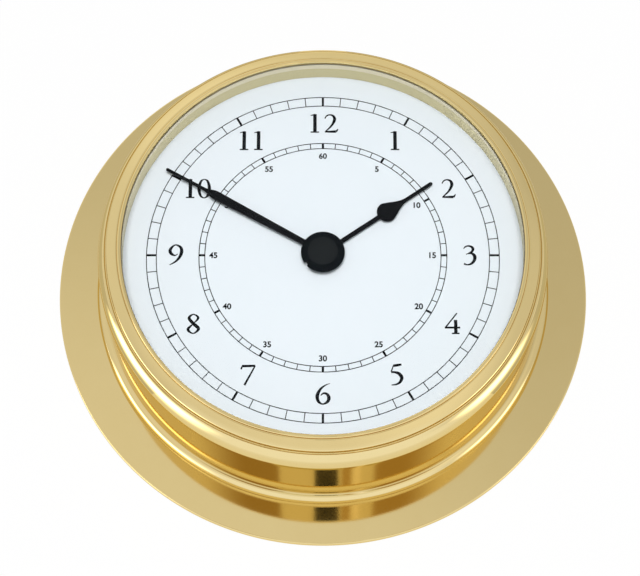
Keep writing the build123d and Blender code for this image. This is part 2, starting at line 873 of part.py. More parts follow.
with BuildPart() as fifth_wheel:
    train_arbor(fifth_place)
    wheel(fifth_place, fifth_wheel_low, fifth_wheel_top, rotor_module, fifth_wheel_teeth, fifth_phase)
    pinion(
        fifth_place,
        fourth_wheel_low - pinion_margin,
        fourth_wheel_top + pinion_margin,
        fourth_module,
        fifth_pinion_teeth,
        fifth_pinion_phase,
    )
finish(fifth_wheel, "fifth_wheel")

# Stepping motor
with BuildPart() as rotor:
    train_arbor(rotor_place)
    pinion(
        rotor_place,
        fifth_wheel_low - pinion_margin,
        fifth_wheel_top + pinion_margin,
        rotor_module,
        rotor_pinion_teeth,
        rotor_phase,
    )
    shaft(rotor_place, magnet_low, magnet_top, magnet_radius)
finish(rotor, "rotor")

core_outer = core_at + core_width / 2
bar_low = rotor_place[1] + stator_bar_rise - stator_bar_width / 2

with BuildPart() as stator:
    with BuildSketch(Plane.XY.offset(stator_low)):
        with Locations(rotor_place):
            Circle(stator_ring_radius)
        with Locations((stator_left, rotor_place[1])):
            Rectangle(stator_leg_width, core_outer - rotor_place[1], align=(Align.MIN, Align.MIN))
        with Locations((rotor_place[0], bar_low)):
            Rectangle(core_right - rotor_place[0], stator_bar_width, align=(Align.MIN, Align.MIN))
        with Locations((core_right, bar_low)):
            Rectangle(stator_leg_width, core_outer - bar_low, align=(Align.MAX, Align.MIN))
        with Locations(rotor_place):
            Circle(stator_bore_radius, mode=Mode.SUBTRACT)
    extrude(amount=stator_thickness)
finish(stator, "stator")

core_low = stator_low - core_thickness
core_middle = core_low + core_thickness / 2

with BuildPart() as coil_core:
    with BuildSketch(Plane.XY.offset(core_low)):
        with Locations((stator_left, core_at)):
            Rectangle(core_length, core_width, align=(Align.MIN, Align.CENTER))
    extrude(amount=core_thickness)
finish(coil_core, "coil_core")

bobbin_left = stator_left + stator_leg_width + bobbin_end_gap
bobbin_right = core_right - stator_leg_width - bobbin_end_gap
bobbin_plane = Plane((bobbin_left, core_at, core_middle), x_dir=(0, 1, 0), z_dir=(1, 0, 0))
bobbin_length = bobbin_right - bobbin_left

with BuildPart() as coil_bobbin:
    with BuildSketch(bobbin_plane):
        Circle(bobbin_radius)
    extrude(amount=bobbin_length)
    with BuildSketch(bobbin_plane, bobbin_plane.offset(bobbin_length - bobbin_flange_thickness)):
        Circle(bobbin_flange_radius)
    extrude(amount=bobbin_flange_thickness)
    with BuildSketch(bobbin_plane):
        Rectangle(core_width + 2 * slip, core_thickness + 2 * slip)
    extrude(amount=bobbin_length, mode=Mode.SUBTRACT)
finish(coil_bobbin, "coil_bobbin")

with BuildPart() as coil_winding:
    with BuildSketch(bobbin_plane.offset(bobbin_flange_thickness + winding_room)):
        Circle(winding_radius)
        Circle(bobbin_radius + winding_room, mode=Mode.SUBTRACT)
    extrude(amount=bobbin_length - 2 * (bobbin_flange_thickness + winding_room))
finish(coil_winding, "coil_winding")

# Circuit board with its chip and quartz
board_top = board_height + board_thickness

with BuildPart() as circuit_board:
    with BuildSketch(Plane.XY.offset(board_height)):
        with Locations((board_left, board_at)):
            Rectangle(board_length, board_width, align=(Align.MIN, Align.CENTER))
    extrude(amount=board_thickness)
finish(circuit_board, "circuit_board")

with BuildPart() as chip_blob:
    with BuildSketch(Plane((board_left + chip_at_share * board_length, board_at, board_top))):
        Circle(chip_radius)
    extrude(amount=chip_height)
    fillet(chip_blob.edges().group_by(Axis.Z)[-1], chip_height / 2)
finish(chip_blob, "chip_blob")

can_start = board_left + can_at_share * board_length - can_length / 2

can_plane = Plane((can_start, board_at, board_top + can_radius), x_dir=(0, 1, 0), z_dir=(1, 0, 0))

with BuildPart() as quartz_can:
    with BuildSketch(can_plane):
        Circle(can_radius)
    extrude(amount=can_length)
finish(quartz_can, "quartz_can")

# Battery cell and its contacts
battery_middle = front_inner - battery_front_room - battery_radius
battery_left = inner_left + contact_thickness + contact_bump_minus
battery_plane = Plane((battery_left, battery_at, battery_middle), x_dir=(0, 1, 0), z_dir=(1, 0, 0))

with BuildPart() as battery_cell:
    with BuildSketch(battery_plane):
        Circle(battery_radius)
    extrude(amount=battery_length)
    fillet(battery_cell.edges().filter_by(GeomType.CIRCLE), battery_edge)
    with BuildSketch(battery_plane.offset(battery_length)):
        Circle(battery_cap_radius)
    extrude(amount=battery_cap_length)
finish(battery_cell, "battery_cell")


def contact(wall_at, inward, bump_height):
    """Add a sheet contact on an end wall of the battery bay, with a bump towards the cell."""
    face = Plane((wall_at, battery_at, battery_middle), x_dir=(0, inward, 0), z_dir=(inward, 0, 0))
    with BuildSketch(face) as sheet:
        Rectangle(contact_width, contact_height)
    extrude(sheet.sketch, amount=contact_thickness)
    with BuildSketch(face.offset(contact_thickness)) as bump_foot:
        Circle(contact_bump_radius)
    with BuildSketch(face.offset(contact_thickness + bump_height)) as bump_top:
        Circle(contact_bump_radius * contact_bump_top_share)
    loft([bump_foot.sketch, bump_top.sketch])


with BuildPart() as battery_contact_plus:
    contact(inner_right, -1, contact_bump_plus)
finish(battery_contact_plus, "battery_contact_plus")

with BuildPart() as battery_contact_minus:
    contact(inner_left, 1, contact_bump_minus)
finish(battery_contact_minus, "battery_contact_minus")
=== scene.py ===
"""Looks of a polished brass bulkhead clock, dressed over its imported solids.

Lengths are metres, written as millimetres times MM. +Z points out through the glass and
+Y to twelve o'clock.
"""
import json
import math

import bmesh
import bpy
from mathutils import Matrix, Vector


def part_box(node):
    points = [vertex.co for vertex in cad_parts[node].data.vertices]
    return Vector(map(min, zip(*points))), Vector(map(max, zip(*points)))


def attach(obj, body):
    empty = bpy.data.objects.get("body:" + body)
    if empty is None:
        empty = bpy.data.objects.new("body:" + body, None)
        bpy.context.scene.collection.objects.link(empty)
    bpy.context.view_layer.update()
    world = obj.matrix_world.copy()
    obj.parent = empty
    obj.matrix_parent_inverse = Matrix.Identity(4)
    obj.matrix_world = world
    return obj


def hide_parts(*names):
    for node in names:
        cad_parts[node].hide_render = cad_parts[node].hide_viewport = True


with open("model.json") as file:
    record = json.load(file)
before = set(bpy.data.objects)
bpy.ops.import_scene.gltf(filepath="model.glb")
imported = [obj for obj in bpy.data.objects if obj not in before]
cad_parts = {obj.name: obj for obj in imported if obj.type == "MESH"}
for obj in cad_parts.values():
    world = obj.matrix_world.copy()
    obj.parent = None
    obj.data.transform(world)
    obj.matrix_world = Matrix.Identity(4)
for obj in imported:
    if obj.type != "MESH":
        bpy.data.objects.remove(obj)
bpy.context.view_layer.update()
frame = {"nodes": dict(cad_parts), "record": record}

MM = 0.001
FULL_TURN = 2 * math.pi

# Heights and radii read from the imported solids
FLANGE_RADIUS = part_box("base_flange")[1].x
FLANGE_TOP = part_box("base_flange")[1].z
DRUM_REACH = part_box("case_drum")[1].x
NECK_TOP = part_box("case_drum")[1].z
DIAL_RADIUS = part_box("dial_plate")[1].x
DIAL_BACK, DIAL_TOP = (corner.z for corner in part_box("dial_plate"))
CRYSTAL_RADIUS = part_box("crystal")[1].x
CRYSTAL_LOW, CRYSTAL_TOP = (corner.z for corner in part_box("crystal"))
LIP_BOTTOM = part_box("crystal_gasket")[1].z
LIP_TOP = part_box("bezel_ring")[1].z
HOUR_LOW, HOUR_TOP = (corner.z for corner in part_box("hour_hand"))
MINUTE_LOW, MINUTE_TOP = (corner.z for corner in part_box("minute_hand"))
CAP_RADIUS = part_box("hand_cap")[1].x
CAP_LOW, CAP_TOP = (corner.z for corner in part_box("hand_cap"))

# Turned case
LATHE_STEPS = 360
SHOULDER_STEPS = 56
BEAD_STEPS = 40
LAND_STEPS = 24
LIP_STEPS = 16
GROOVE_STEPS = 12
SLIP = 0.05 * MM
AXIS_REACH = 0.005 * MM
TURNED_WELD = 0.0001 * MM
PLATE_WELD = 0.001 * MM
DRILL_SEGMENTS = 48
BACK_OPENING_RADIUS = 46 * MM
FLANGE_EDGE = 0.4 * MM
FINE_EDGE = 0.12 * MM
STEP_GROOVE_WIDTH = 0.6 * MM
STEP_GROOVE_DEPTH = 0.5 * MM
LIP_GROOVE_EDGE = 0.4 * MM
LAND_EDGE = 0.45 * MM
WALL_SCREW_CIRCLE = 52 * MM
WALL_SCREW_HOLE = 2.25 * MM
WALL_SCREW_COUNT = 3
BASE_SCREW_CIRCLE = 59.5 * MM
BASE_SCREW_HOLE = 1 * MM
BASE_SCREW_SINK = 1.95 * MM
BASE_SCREW_SINK_DEPTH = 0.9 * MM
BASE_SCREW_COUNT = 4
DRUM_RADIUS = 61.6 * MM
DRUM_BORE = 57.4 * MM
BEAD_RADIUS = 2.1 * MM
BEAD_LIFT = 1.4 * MM
BEAD_CREASE_LIFT = 0.45 * MM
NECK_RADIUS = 58.5 * MM
NECK_BORE = 57.2 * MM
SKIRT_HEIGHT = 1.8 * MM
STEP_RADIUS = 58.8 * MM
STEP_HEIGHT = 0.9 * MM
LAND_DROP = 1.75 * MM
LAND_CROWN = 0.08 * MM
LIP_RADIUS = 54.65 * MM
LIP_WIDTH = 1.05 * MM
GROOVE_WIDTH = 0.3 * MM
GROOVE_DEPTH = 0.25 * MM
CRYSTAL_POCKET = 56.25 * MM
CRYSTAL_EDGE = 0.3 * MM
GASKET_BORE = 54.45 * MM
REFLECTOR_FOOT = 54.9 * MM
REFLECTOR_TOP = 55.3 * MM
BAND_FOOT = 29.9 * MM
BAND_EASE = 0.15 * MM
DIAL_HOLE = 3.95 * MM

# Hands, as lengths along each hand and widths across it
HOUR_ANGLE = 55
HOUR_TIP = 37.0 * MM
HOUR_ROD = 1.3 * MM
HOUR_BULB_AT = 21.6 * MM
HOUR_BULB = 5.7 * MM
HOUR_BULB_BACK = 2.7 * MM
HOUR_TAPER_END = 28.3 * MM
HOUR_TAPER_LEAD = 0.78
HOUR_POINT = 1.0 * MM
HOUR_BOSS = 3.4 * MM
HOUR_BORE = 2.0 * MM
MINUTE_ANGLE = 300
MINUTE_TIP = 50.3 * MM
MINUTE_ROD = 1.55 * MM
MINUTE_WIDE_AT = 34.1 * MM
MINUTE_WIDE = 2.6 * MM
MINUTE_TAPER_END = 38.0 * MM
MINUTE_POINT = 0.9 * MM
MINUTE_BOSS = 2.9 * MM
MINUTE_BORE = 0.9 * MM
HAND_EDGE = 0.08 * MM
HAND_BORE_STEPS = 48
HAND_SHARP_ANGLE = 50
HAND_TAPER_STEPS = (20, 16)
BULB_STEPS = 16
CAP_TOP_RADIUS = 4.1 * MM
CAP_RIM = 0.25 * MM
CAP_NOTCH_ANGLE = 232
CAP_NOTCH_WIDTH = 1.0 * MM
CAP_NOTCH_DEPTH = 1.0 * MM
CAP_STEPS = 180
CAP_SHARP_ANGLE = 24
NOTCH_STEPS = 4
NOTCH_WALL_SHARE = 0.002

# Dial print
INK_HEIGHT = 0.04 * MM
RING_LINE = 0.24 * MM
HOUR_TRACK = (45.7 * MM, 48.4 * MM)
MINUTE_TRACK = (32.4 * MM, 34.0 * MM)
TRACK_DIVISIONS = 60
HOUR_COUNT = 12
FINE_BAR = 0.24 * MM
BOLD_BAR = 0.62 * MM
HOUR_NUMERAL_RADIUS = 40.3 * MM
HOUR_NUMERAL_HEIGHT = 5.75 * MM
MINUTE_NUMERAL_RADIUS = 30.1 * MM
MINUTE_NUMERAL_HEIGHT = 1.75 * MM
MINUTE_NUMERAL_WEIGHT_SHARE = 0.03

# Camera, fitted to the outlines of the flange and the glass in a 640 by 576 picture
PICTURE_WIDTH = 640
PICTURE_HEIGHT = 576
FOCAL_PIXELS = 2098.8
CAMERA_DISTANCE = 600 * MM
CAMERA_TILT = 21.88
ORIGIN_PIXEL = (322.9, 290.5)
SENSOR_WIDTH = 36.0

# Cards that the polished brass mirrors. A sweep is a line of (radius, height) points turned
# through an angle, and soft gives the shares that fade at its near, far, first and last edge.
TABLE = ((77 * MM, 1.0 * MM), (240 * MM, 1.0 * MM))
SIDE_SWEEP = ((86 * MM, 1.5 * MM), (300 * MM, 1.5 * MM), (300 * MM, 160 * MM))
FRONT_SWEEP = ((90 * MM, 1.2 * MM), (320 * MM, 1.2 * MM), (320 * MM, 340 * MM))
CEILING = ((150 * MM, 560 * MM), (345 * MM, 560 * MM))
FRONT_CEILING = ((265 * MM, 560 * MM), (345 * MM, 560 * MM))
STRIP = ((195 * MM, 552 * MM), (345 * MM, 552 * MM))
GREY = (1, 0.99, 0.96, 1)
COOL = (1, 1.04, 1.14, 1)
BROWN = (0.47, 0.35, 0.18, 1)
TAN = (0.75, 0.72, 0.5, 1)
CREAM = (1, 1, 1.1, 1)
HARD = (0, 0, 0, 0)
SHARP = (0, 0, 0.15, 0.15)
CARD_STEPS = 24
CARDS = (
    ("left_shade", TABLE, (95, 215), GREY, 0.68, HARD),
    ("right_shade", TABLE, (-35, 85), GREY, 0.66, HARD),
    ("front_sweep", FRONT_SWEEP, (210, 325), COOL, 1.12, (0.05, 0.25, 0.1, 0.2)),
    ("left_sweep", SIDE_SWEEP, (184, 238), GREY, 4.2, (0.1, 0.4, 0.12, 0.4)),
    ("right_sweep", SIDE_SWEEP, (312, 353), GREY, 3.4, (0.12, 0.45, 0.35, 0.35)),
    ("front_tan", FRONT_CEILING, (249, 295), TAN, 1.0, HARD),
    ("brown_strip", STRIP, (279.2, 284.4), BROWN, 1.3, SHARP),
    ("cream_strip", STRIP, (284.8, 289), CREAM, 1.25, SHARP),
    ("left_brown", CEILING, (200, 249), BROWN, 1.0, (0, 0, 0.65, 0.03)),
    ("right_brown", CEILING, (295, 340), BROWN, 1.15, (0, 0, 0.03, 0.65)),
)
LENS_CARD_HALF_WIDTH = 24 * MM
LENS_CARD_HALF_HEIGHT = 30 * MM
LENS_CARD_ASIDE = 7 * MM
LENS_CARD_BACK = 4 * MM
LENS_DARK = (0.05, 0.05, 0.05, 1)

# Room beyond the cards: a level, and lobes given as a direction, the cosines between which
# they rise, and a gain
ROOM_LEVEL = 0.585
ROOM_LOBES = (
    ((0, -0.5, 0.866), 0.45, 1.0, 0.38),
    ((-0.8, 0.45, 0.4), 0.45, 1.0, 0.31),
    ((0.85, -0.1, 0.5), 0.5, 1.0, 0.22),
    ((0, 1, 0.2), 0.6, 1.0, 0.3),
    ((-0.08, 0.22, 0.97), 0.975, 0.997, 0.12),
)
ROOM_TINT = (1, 0.995, 0.985, 1)
WHITE = (1, 1, 1, 1)
EVEN_LEVEL = 0.36
LAMP_PLACE = (0, -120 * MM, 1190 * MM)
LAMP_SIZE = (400 * MM, 400 * MM)
LAMP_RADIANCE = 20.8
FLOOR_HALF = 4000 * MM
FLOOR_HEIGHT = -0.2 * MM
FLOOR_PAINT = (0.9, 0.9, 0.9, 1)
FLOOR_GLOW_SHARE = 0.92

# Colours and fine texture of the materials
DIAL_WHITES = ((0.85, 0.912, 0.96), (0.838, 0.902, 0.952))
HAND_BLACKS = ((0.0042, 0.0047, 0.0055), (0.0063, 0.007, 0.0083))
CAP_BLACKS = ((0.0105, 0.0125, 0.0135), (0.0135, 0.0155, 0.0165))
INK_BLACKS = ((0.005, 0.0056, 0.007), (0.009, 0.0096, 0.012))
FINE_NOISE_RATIO = 9.0
GRAIN_DEPTH = 0.02 * MM
TURNING_MARK_DEPTH = 0.01 * MM
WIRE_DEPTH = 0.05 * MM


# Small helpers

def place(radius, angle):
    """A point at a radius and an angle, counted from three o'clock."""
    return (radius * math.cos(angle), radius * math.sin(angle))


def clock_turn(degrees):
    """The turn about Z that swings twelve o'clock to a clock angle."""
    return -math.radians(degrees)


def add_object(name, mesh):
    """Link a mesh as a new object at the origin."""
    piece = bpy.data.objects.new(name, mesh)
    bpy.context.scene.collection.objects.link(piece)
    return piece


def add_built(name, bm):
    """Link what a bmesh holds as a new object at the origin."""
    mesh = bpy.data.meshes.new(name)
    bm.to_mesh(mesh)
    bm.free()
    return add_object(name, mesh)


def plain_mesh(piece):
    """The mesh of an object with its modifiers or curve settings worked in."""
    bpy.context.view_layer.update()
    graph = bpy.context.evaluated_depsgraph_get()
    return bpy.data.meshes.new_from_object(piece.evaluated_get(graph))


def settle(piece):
    """Turn a piece's modifiers into plain mesh."""
    mesh = plain_mesh(piece)
    piece.modifiers.clear()
    piece.data = mesh


def curve_mesh(curve):
    """The plain mesh of a curve or a text."""
    sketch = add_object(curve.name, curve)
    mesh = plain_mesh(sketch)
    bpy.data.objects.remove(sketch)
    return mesh


def smooth(piece, sharp_angle=32):
    """Shade a piece smooth, keep its sharp corners and let its flats stay flat."""
    piece.data.shade_smooth()
    piece.data.set_sharp_from_angle(angle=math.radians(sharp_angle))
    weighting = piece.modifiers.new("flat_faces_first", "WEIGHTED_NORMAL")
    weighting.mode = "FACE_AREA"
    weighting.weight = 100
    weighting.keep_sharp = True
    settle(piece)


def dress(piece, body, slot, material, *nodes):
    """Give a finished piece its material, its body and the solids that it stands for."""
    piece.data.materials.clear()
    piece.data.materials.append(material)
    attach(piece, body)
    if nodes:
        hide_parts(*nodes)
    return piece


# Turned forms

def arc_through(start, middle, end, steps):
    """Points of the arc through three points, both ends included."""
    (ax, ay), (bx, by), (cx, cy) = start, middle, end
    twist = 2 * (ax * (by - cy) + bx * (cy - ay) + cx * (ay - by))
    a2, b2, c2 = ax * ax + ay * ay, bx * bx + by * by, cx * cx + cy * cy
    ux = (a2 * (by - cy) + b2 * (cy - ay) + c2 * (ay - by)) / twist
    uy = (a2 * (cx - bx) + b2 * (ax - cx) + c2 * (bx - ax)) / twist
    radius = math.hypot(ax - ux, ay - uy)
    first = math.atan2(ay - uy, ax - ux)
    sweep = (math.atan2(cy - uy, cx - ux) - first) % FULL_TURN
    via = (math.atan2(by - uy, bx - ux) - first) % FULL_TURN
    if via > sweep:
        sweep -= FULL_TURN
    turns = [first + sweep * step / steps for step in range(steps + 1)]
    return [(ux + radius * math.cos(t), uy + radius * math.sin(t)) for t in turns]


def eased(before, corner, after, radius, steps=5):
    """Points that round a corner of a profile with a small arc."""
    corner, before, after = Vector(corner), Vector(before), Vector(after)
    arm_in, arm_out = (before - corner).normalized(), (after - corner).normalized()
    half = arm_in.angle(arm_out) / 2
    reach = radius / math.tan(half)
    centre = corner + (arm_in + arm_out).normalized() * (radius / math.sin(half))
    middle = centre + (corner - centre).normalized() * radius
    return arc_through(corner + arm_in * reach, middle, corner + arm_out * reach, steps)


def eased_profile(corners):
    """A closed profile from corners given as (radius, height, rounding)."""
    points = []
    for index, (radius, height, rounding) in enumerate(corners):
        before = corners[index - 1][:2]
        after = corners[(index + 1) % len(corners)][:2]
        if rounding:
            points += eased(before, (radius, height), after, rounding)
        else:
            points.append((radius, height))
    return points


def turned(name, profile, angles=None, limit=None):
    """A mesh turned about Z from a closed profile of (radius, height) points.

    The profile runs counter-clockwise with the radius to the right. A point on the axis
    becomes a pole. limit, if given, is a function of the angle that caps the radius.
    """
    if angles is None:
        angles = [FULL_TURN * step / LATHE_STEPS for step in range(LATHE_STEPS)]
    bm = bmesh.new()
    rings = []
    for radius, height in profile:
        if radius < AXIS_REACH:
            pole = bm.verts.new((0, 0, height))
            rings.append([pole] * len(angles))
            continue
        ring = []
        for angle in angles:
            reach = radius if limit is None else min(radius, limit(angle))
            ring.append(bm.verts.new((*place(reach, angle), height)))
        rings.append(ring)
    for index, ring in enumerate(rings):
        upper = rings[(index + 1) % len(rings)]
        if ring[0] is ring[1] and upper[0] is upper[1]:
            continue
        for step in range(len(angles)):
            after = (step + 1) % len(angles)
            corners = [ring[step], ring[after], upper[after], upper[step]]
            unique = [v for i, v in enumerate(corners) if v is not corners[i - 1]]
            bm.faces.new(unique)
    bmesh.ops.remove_doubles(bm, verts=bm.verts, dist=TURNED_WELD)
    bmesh.ops.recalc_face_normals(bm, faces=bm.faces)
    return add_built(name, bm)


def turned_piece(name, profile, slot, material, *nodes):
    """A turned piece of the case, shaded and dressed."""
    piece = turned(name, profile)
    smooth(piece)
    return dress(piece, "case", slot, material, *nodes)


def ring_piece(name, radii, heights, *looks):
    """A turned piece of the case with a plain square section."""
    (inner, outer), (low, high) = radii, heights
    profile = [(inner, low), (outer, low), (outer, high), (inner, high)]
    return turned_piece(name, profile, *looks)


# Flat forms

def flat_plate(name, outlines, low, high, edge):
    """A plate with eased edges from closed outlines, the first one outside, the others holes."""
    curve = bpy.data.curves.new(name, "CURVE")
    curve.dimensions = "2D"
    curve.fill_mode = "BOTH"
    curve.extrude = (high - low) / 2 - edge
    curve.bevel_depth = edge
    curve.bevel_resolution = 2
    curve.offset = -edge
    for outline in outlines:
        spline = curve.splines.new("POLY")
        spline.points.add(len(outline) - 1)
        for point, (x, y) in zip(spline.points, outline):
            point.co = (x, y, 0, 1)
        spline.use_cyclic_u = True
    mesh = curve_mesh(curve)
    bm = bmesh.new()
    bm.from_mesh(mesh)
    bmesh.ops.remove_doubles(bm, verts=bm.verts, dist=PLATE_WELD)
    bmesh.ops.recalc_face_normals(bm, faces=bm.faces)
    bm.to_mesh(mesh)
    bm.free()
    mesh.transform(Matrix.Translation((0, 0, (low + high) / 2)))
    return add_object(name, mesh)


def circle(radius, steps=96):
    """A circle as an outline."""
    return [place(radius, FULL_TURN * step / steps) for step in range(steps)]


def swell(start, end, steps, lead=1):
    """Points of an S-shaped flank along the hand. A lead below one bends in earlier."""
    points = []
    for step in range(steps + 1):
        share = step / steps
        bend = share**lead
        blend = bend * bend * (3 - 2 * bend)
        x = start[0] + (end[0] - start[0]) * blend
        points.append((x, start[1] + (end[1] - start[1]) * share))
    return points


def round_tip(half, tip, steps=6):
    """Points of the rounded end of a hand, from its right flank to its middle."""
    centre = tip - half
    turns = [math.pi / 2 * step / steps for step in range(steps + 1)]
    return [(half * math.cos(t), centre + half * math.sin(t)) for t in turns]


def boss_arc(boss, half_rod, steps=40):
    """Points of the boss round the arbor, from the left of the rod to its right."""
    gap = math.asin(half_rod / boss)
    first, last = math.pi / 2 + gap, FULL_TURN + math.pi / 2 - gap
    return [place(boss, first + (last - first) * s / steps) for s in range(steps + 1)]


def mirrored(flank, boss, half_rod):
    """A whole hand outline from its right flank, given from the rod to the tip."""
    left = [(-x, y) for x, y in reversed(flank[:-1])]
    return boss_arc(boss, half_rod) + flank + left


def hour_outline():
    """Rod, bulb and long narrow point of the hour hand."""
    half_rod, half_bulb, half_point = HOUR_ROD / 2, HOUR_BULB / 2, HOUR_POINT / 2
    inward = half_bulb - half_rod
    reach = (inward**2 + HOUR_BULB_BACK**2) / (2 * inward)
    sweep = math.asin(HOUR_BULB_BACK / reach)
    turns = [sweep * (1 - step / BULB_STEPS) for step in range(BULB_STEPS + 1)]
    middle = half_bulb - reach
    bulb = [(middle + reach * math.cos(t), HOUR_BULB_AT - reach * math.sin(t)) for t in turns]
    ends = (half_bulb, HOUR_BULB_AT), (half_point, HOUR_TAPER_END)
    taper = swell(*ends, HAND_TAPER_STEPS[0], HOUR_TAPER_LEAD)
    return mirrored(bulb + taper[1:] + round_tip(half_point, HOUR_TIP), HOUR_BOSS, half_rod)


def minute_outline():
    """Widening rod, quick taper and long narrow point of the minute hand."""
    half_rod, half_wide, half_point = MINUTE_ROD / 2, MINUTE_WIDE / 2, MINUTE_POINT / 2
    ends = (half_wide, MINUTE_WIDE_AT), (half_point, MINUTE_TAPER_END)
    taper = swell(*ends, HAND_TAPER_STEPS[1])
    return mirrored(taper + round_tip(half_point, MINUTE_TIP), MINUTE_BOSS, half_rod)


# Shader building

def new_material(name):
    """A material with its Principled shader, ready for more nodes."""
    material = bpy.data.materials.new(name)
    material.use_nodes = True
    return material, material.node_tree, material.node_tree.nodes["Principled BSDF"]


def connect(socket, value):
    """Set an input to a value, or link it to a socket or to a node's first output."""
    if isinstance(value, bpy.types.Node):
        value = value.outputs[0]
    if isinstance(value, bpy.types.NodeSocket):
        socket.id_data.links.new(value, socket)
    else:
        socket.default_value = value


def feed(node, *values):
    """Set or link a node's inputs in order."""
    for socket, value in zip(node.inputs, values):
        connect(socket, value)
    return node


def set_inputs(node, **values):
    """Set or link a node's inputs by name, with underscores for spaces."""
    for label, value in values.items():
        connect(node.inputs[label.replace("_", " ")], value)


def add_node(tree, kind, **inputs):
    """Add a node and set or link its inputs."""
    node = tree.nodes.new(kind)
    set_inputs(node, **inputs)
    return node


def calculate(tree, operation, *values, kind="ShaderNodeMath"):
    """Add a Math node, or one like it, with its inputs in order."""
    node = tree.nodes.new(kind)
    node.operation = operation
    return feed(node, *values)


def mixed_colour(tree, factor, first, second):
    """A colour between two others."""
    mix = add_node(tree, "ShaderNodeMix", Factor=factor)
    mix.data_type = "RGBA"
    connect(mix.inputs[6], first)
    connect(mix.inputs[7], second)
    return mix.outputs[2]


def mixed_shader(tree, factor, first, second):
    """One shader that gives way to another."""
    return feed(tree.nodes.new("ShaderNodeMixShader"), factor, first, second)


def rising(tree, value, start, end, gain=1.0, kind="LINEAR"):
    """Nought up to the start, the gain from the end on, and a slope between them."""
    slope = add_node(
        tree, "ShaderNodeMapRange", Value=value, From_Min=start, From_Max=end, To_Max=gain
    )
    slope.interpolation_type = kind
    return slope


def node_group(name, kind, inputs, outputs):
    """A new node group with named sockets: its tree, what it is given and its result."""
    tree = bpy.data.node_groups.new(name, kind)
    for direction, sockets in (("OUTPUT", outputs), ("INPUT", inputs)):
        for label, sort in sockets.items():
            tree.interface.new_socket(label, in_out=direction, socket_type=f"NodeSocket{sort}")
    return tree, tree.nodes.new("NodeGroupInput").outputs, tree.nodes.new("NodeGroupOutput")


def build_mottle():
    """Group: two colours mixed by broad and fine noise, and a roughness that follows."""
    tree, given, result = node_group(
        "mottle",
        "ShaderNodeTree",
        {
            "Vector": "Vector",
            "Colour A": "Color",
            "Colour B": "Color",
            "Scale": "Float",
            "Roughness Low": "Float",
            "Roughness High": "Float",
        },
        {"Color": "Color", "Roughness": "Float", "Mask": "Float"},
    )
    vector, scale = given["Vector"], given["Scale"]
    fine_scale = calculate(tree, "MULTIPLY", scale, FINE_NOISE_RATIO)
    broad = add_node(
        tree, "ShaderNodeTexNoise", Vector=vector, Scale=scale, Detail=3.0, Roughness=0.55
    )
    fine = add_node(
        tree, "ShaderNodeTexNoise", Vector=vector, Scale=fine_scale, Detail=4.0, Roughness=0.6
    )
    blend = add_node(tree, "ShaderNodeMix", Factor=0.35, A=broad, B=fine)
    mask = rising(tree, blend, 0.32, 0.68)
    low, high = given["Roughness Low"], given["Roughness High"]
    rough = add_node(tree, "ShaderNodeMapRange", Value=mask, To_Min=low, To_Max=high)
    colour = mixed_colour(tree, mask, given["Colour A"], given["Colour B"])
    set_inputs(result, Color=colour, Roughness=rough, Mask=mask)
    return tree


def build_turning_marks():
    """Group: the height of fine concentric tool marks about the axis."""
    tree, given, result = node_group(
        "turning_marks",
        "ShaderNodeTree",
        {"Vector": "Vector", "Spacing": "Float"},
        {"Height": "Float"},
    )
    wave = add_node(tree, "ShaderNodeTexWave", Distortion=0.6, Detail=2.0, Detail_Scale=0.4)
    wave.wave_type = "RINGS"
    wave.rings_direction = "Z"
    set_inputs(wave, Vector=given["Vector"], Scale=given["Spacing"])
    set_inputs(result, Height=wave.outputs["Fac"])
    return tree


MOTTLE = build_mottle()
TURNING_MARKS = build_turning_marks()


def object_coordinates(tree):
    """The Object output of a new Texture Coordinate node."""
    return tree.nodes.new("ShaderNodeTexCoord").outputs["Object"]


def add_group(tree, group, **inputs):
    """Place an effect group in a material and feed it object coordinates."""
    node = tree.nodes.new("ShaderNodeGroup")
    node.node_tree = group
    set_inputs(node, Vector=object_coordinates(tree), **inputs)
    return node


def add_bump(tree, shader, height, strength, distance):
    """Feed a height through a Bump node into a shader's normal."""
    bump = add_node(tree, "ShaderNodeBump", Strength=strength, Distance=distance, Height=height)
    set_inputs(shader, Normal=bump)


def mottled(name, colour_a, colour_b, scale, rough_low, rough_high, bump=0.0, **settings):
    """A material whose colour and roughness wander a little, with an optional fine grain.

    The settings are further inputs of its shader.
    """
    material, tree, shader = new_material(name)
    group = add_group(
        tree,
        MOTTLE,
        Colour_A=(*colour_a, 1),
        Colour_B=(*colour_b, 1),
        Scale=scale,
        Roughness_Low=rough_low,
        Roughness_High=rough_high,
    )
    tone, rough = group.outputs["Color"], group.outputs["Roughness"]
    set_inputs(shader, Base_Color=tone, Roughness=rough, **settings)
    if bump:
        add_bump(tree, shader, group.outputs["Mask"], bump, GRAIN_DEPTH)
    return material, tree, shader


def simple(*looks, **settings):
    """A mottled material that needs no more nodes."""
    return mottled(*looks, **settings)[0]


def lay_over(tree, shader, factor, colour):
    """Lay a second colour over a material's own as the factor rises."""
    own = shader.inputs["Base Color"].links[0].from_socket
    set_inputs(shader, Base_Color=mixed_colour(tree, factor, own, colour))


def polished_brass():
    """Lacquered, polished brass with the faintest turning marks."""
    material, tree, shader = mottled(
        "polished_brass", (0.765, 0.61, 0.29), (0.745, 0.586, 0.27), 22.0, 0.05, 0.075, Metallic=1.0
    )
    set_inputs(shader, Specular_Tint=(0.92, 0.82, 0.55, 1))
    marks = add_group(tree, TURNING_MARKS, Spacing=900.0)
    add_bump(tree, shader, marks, 0.04, TURNING_MARK_DEPTH)
    return material


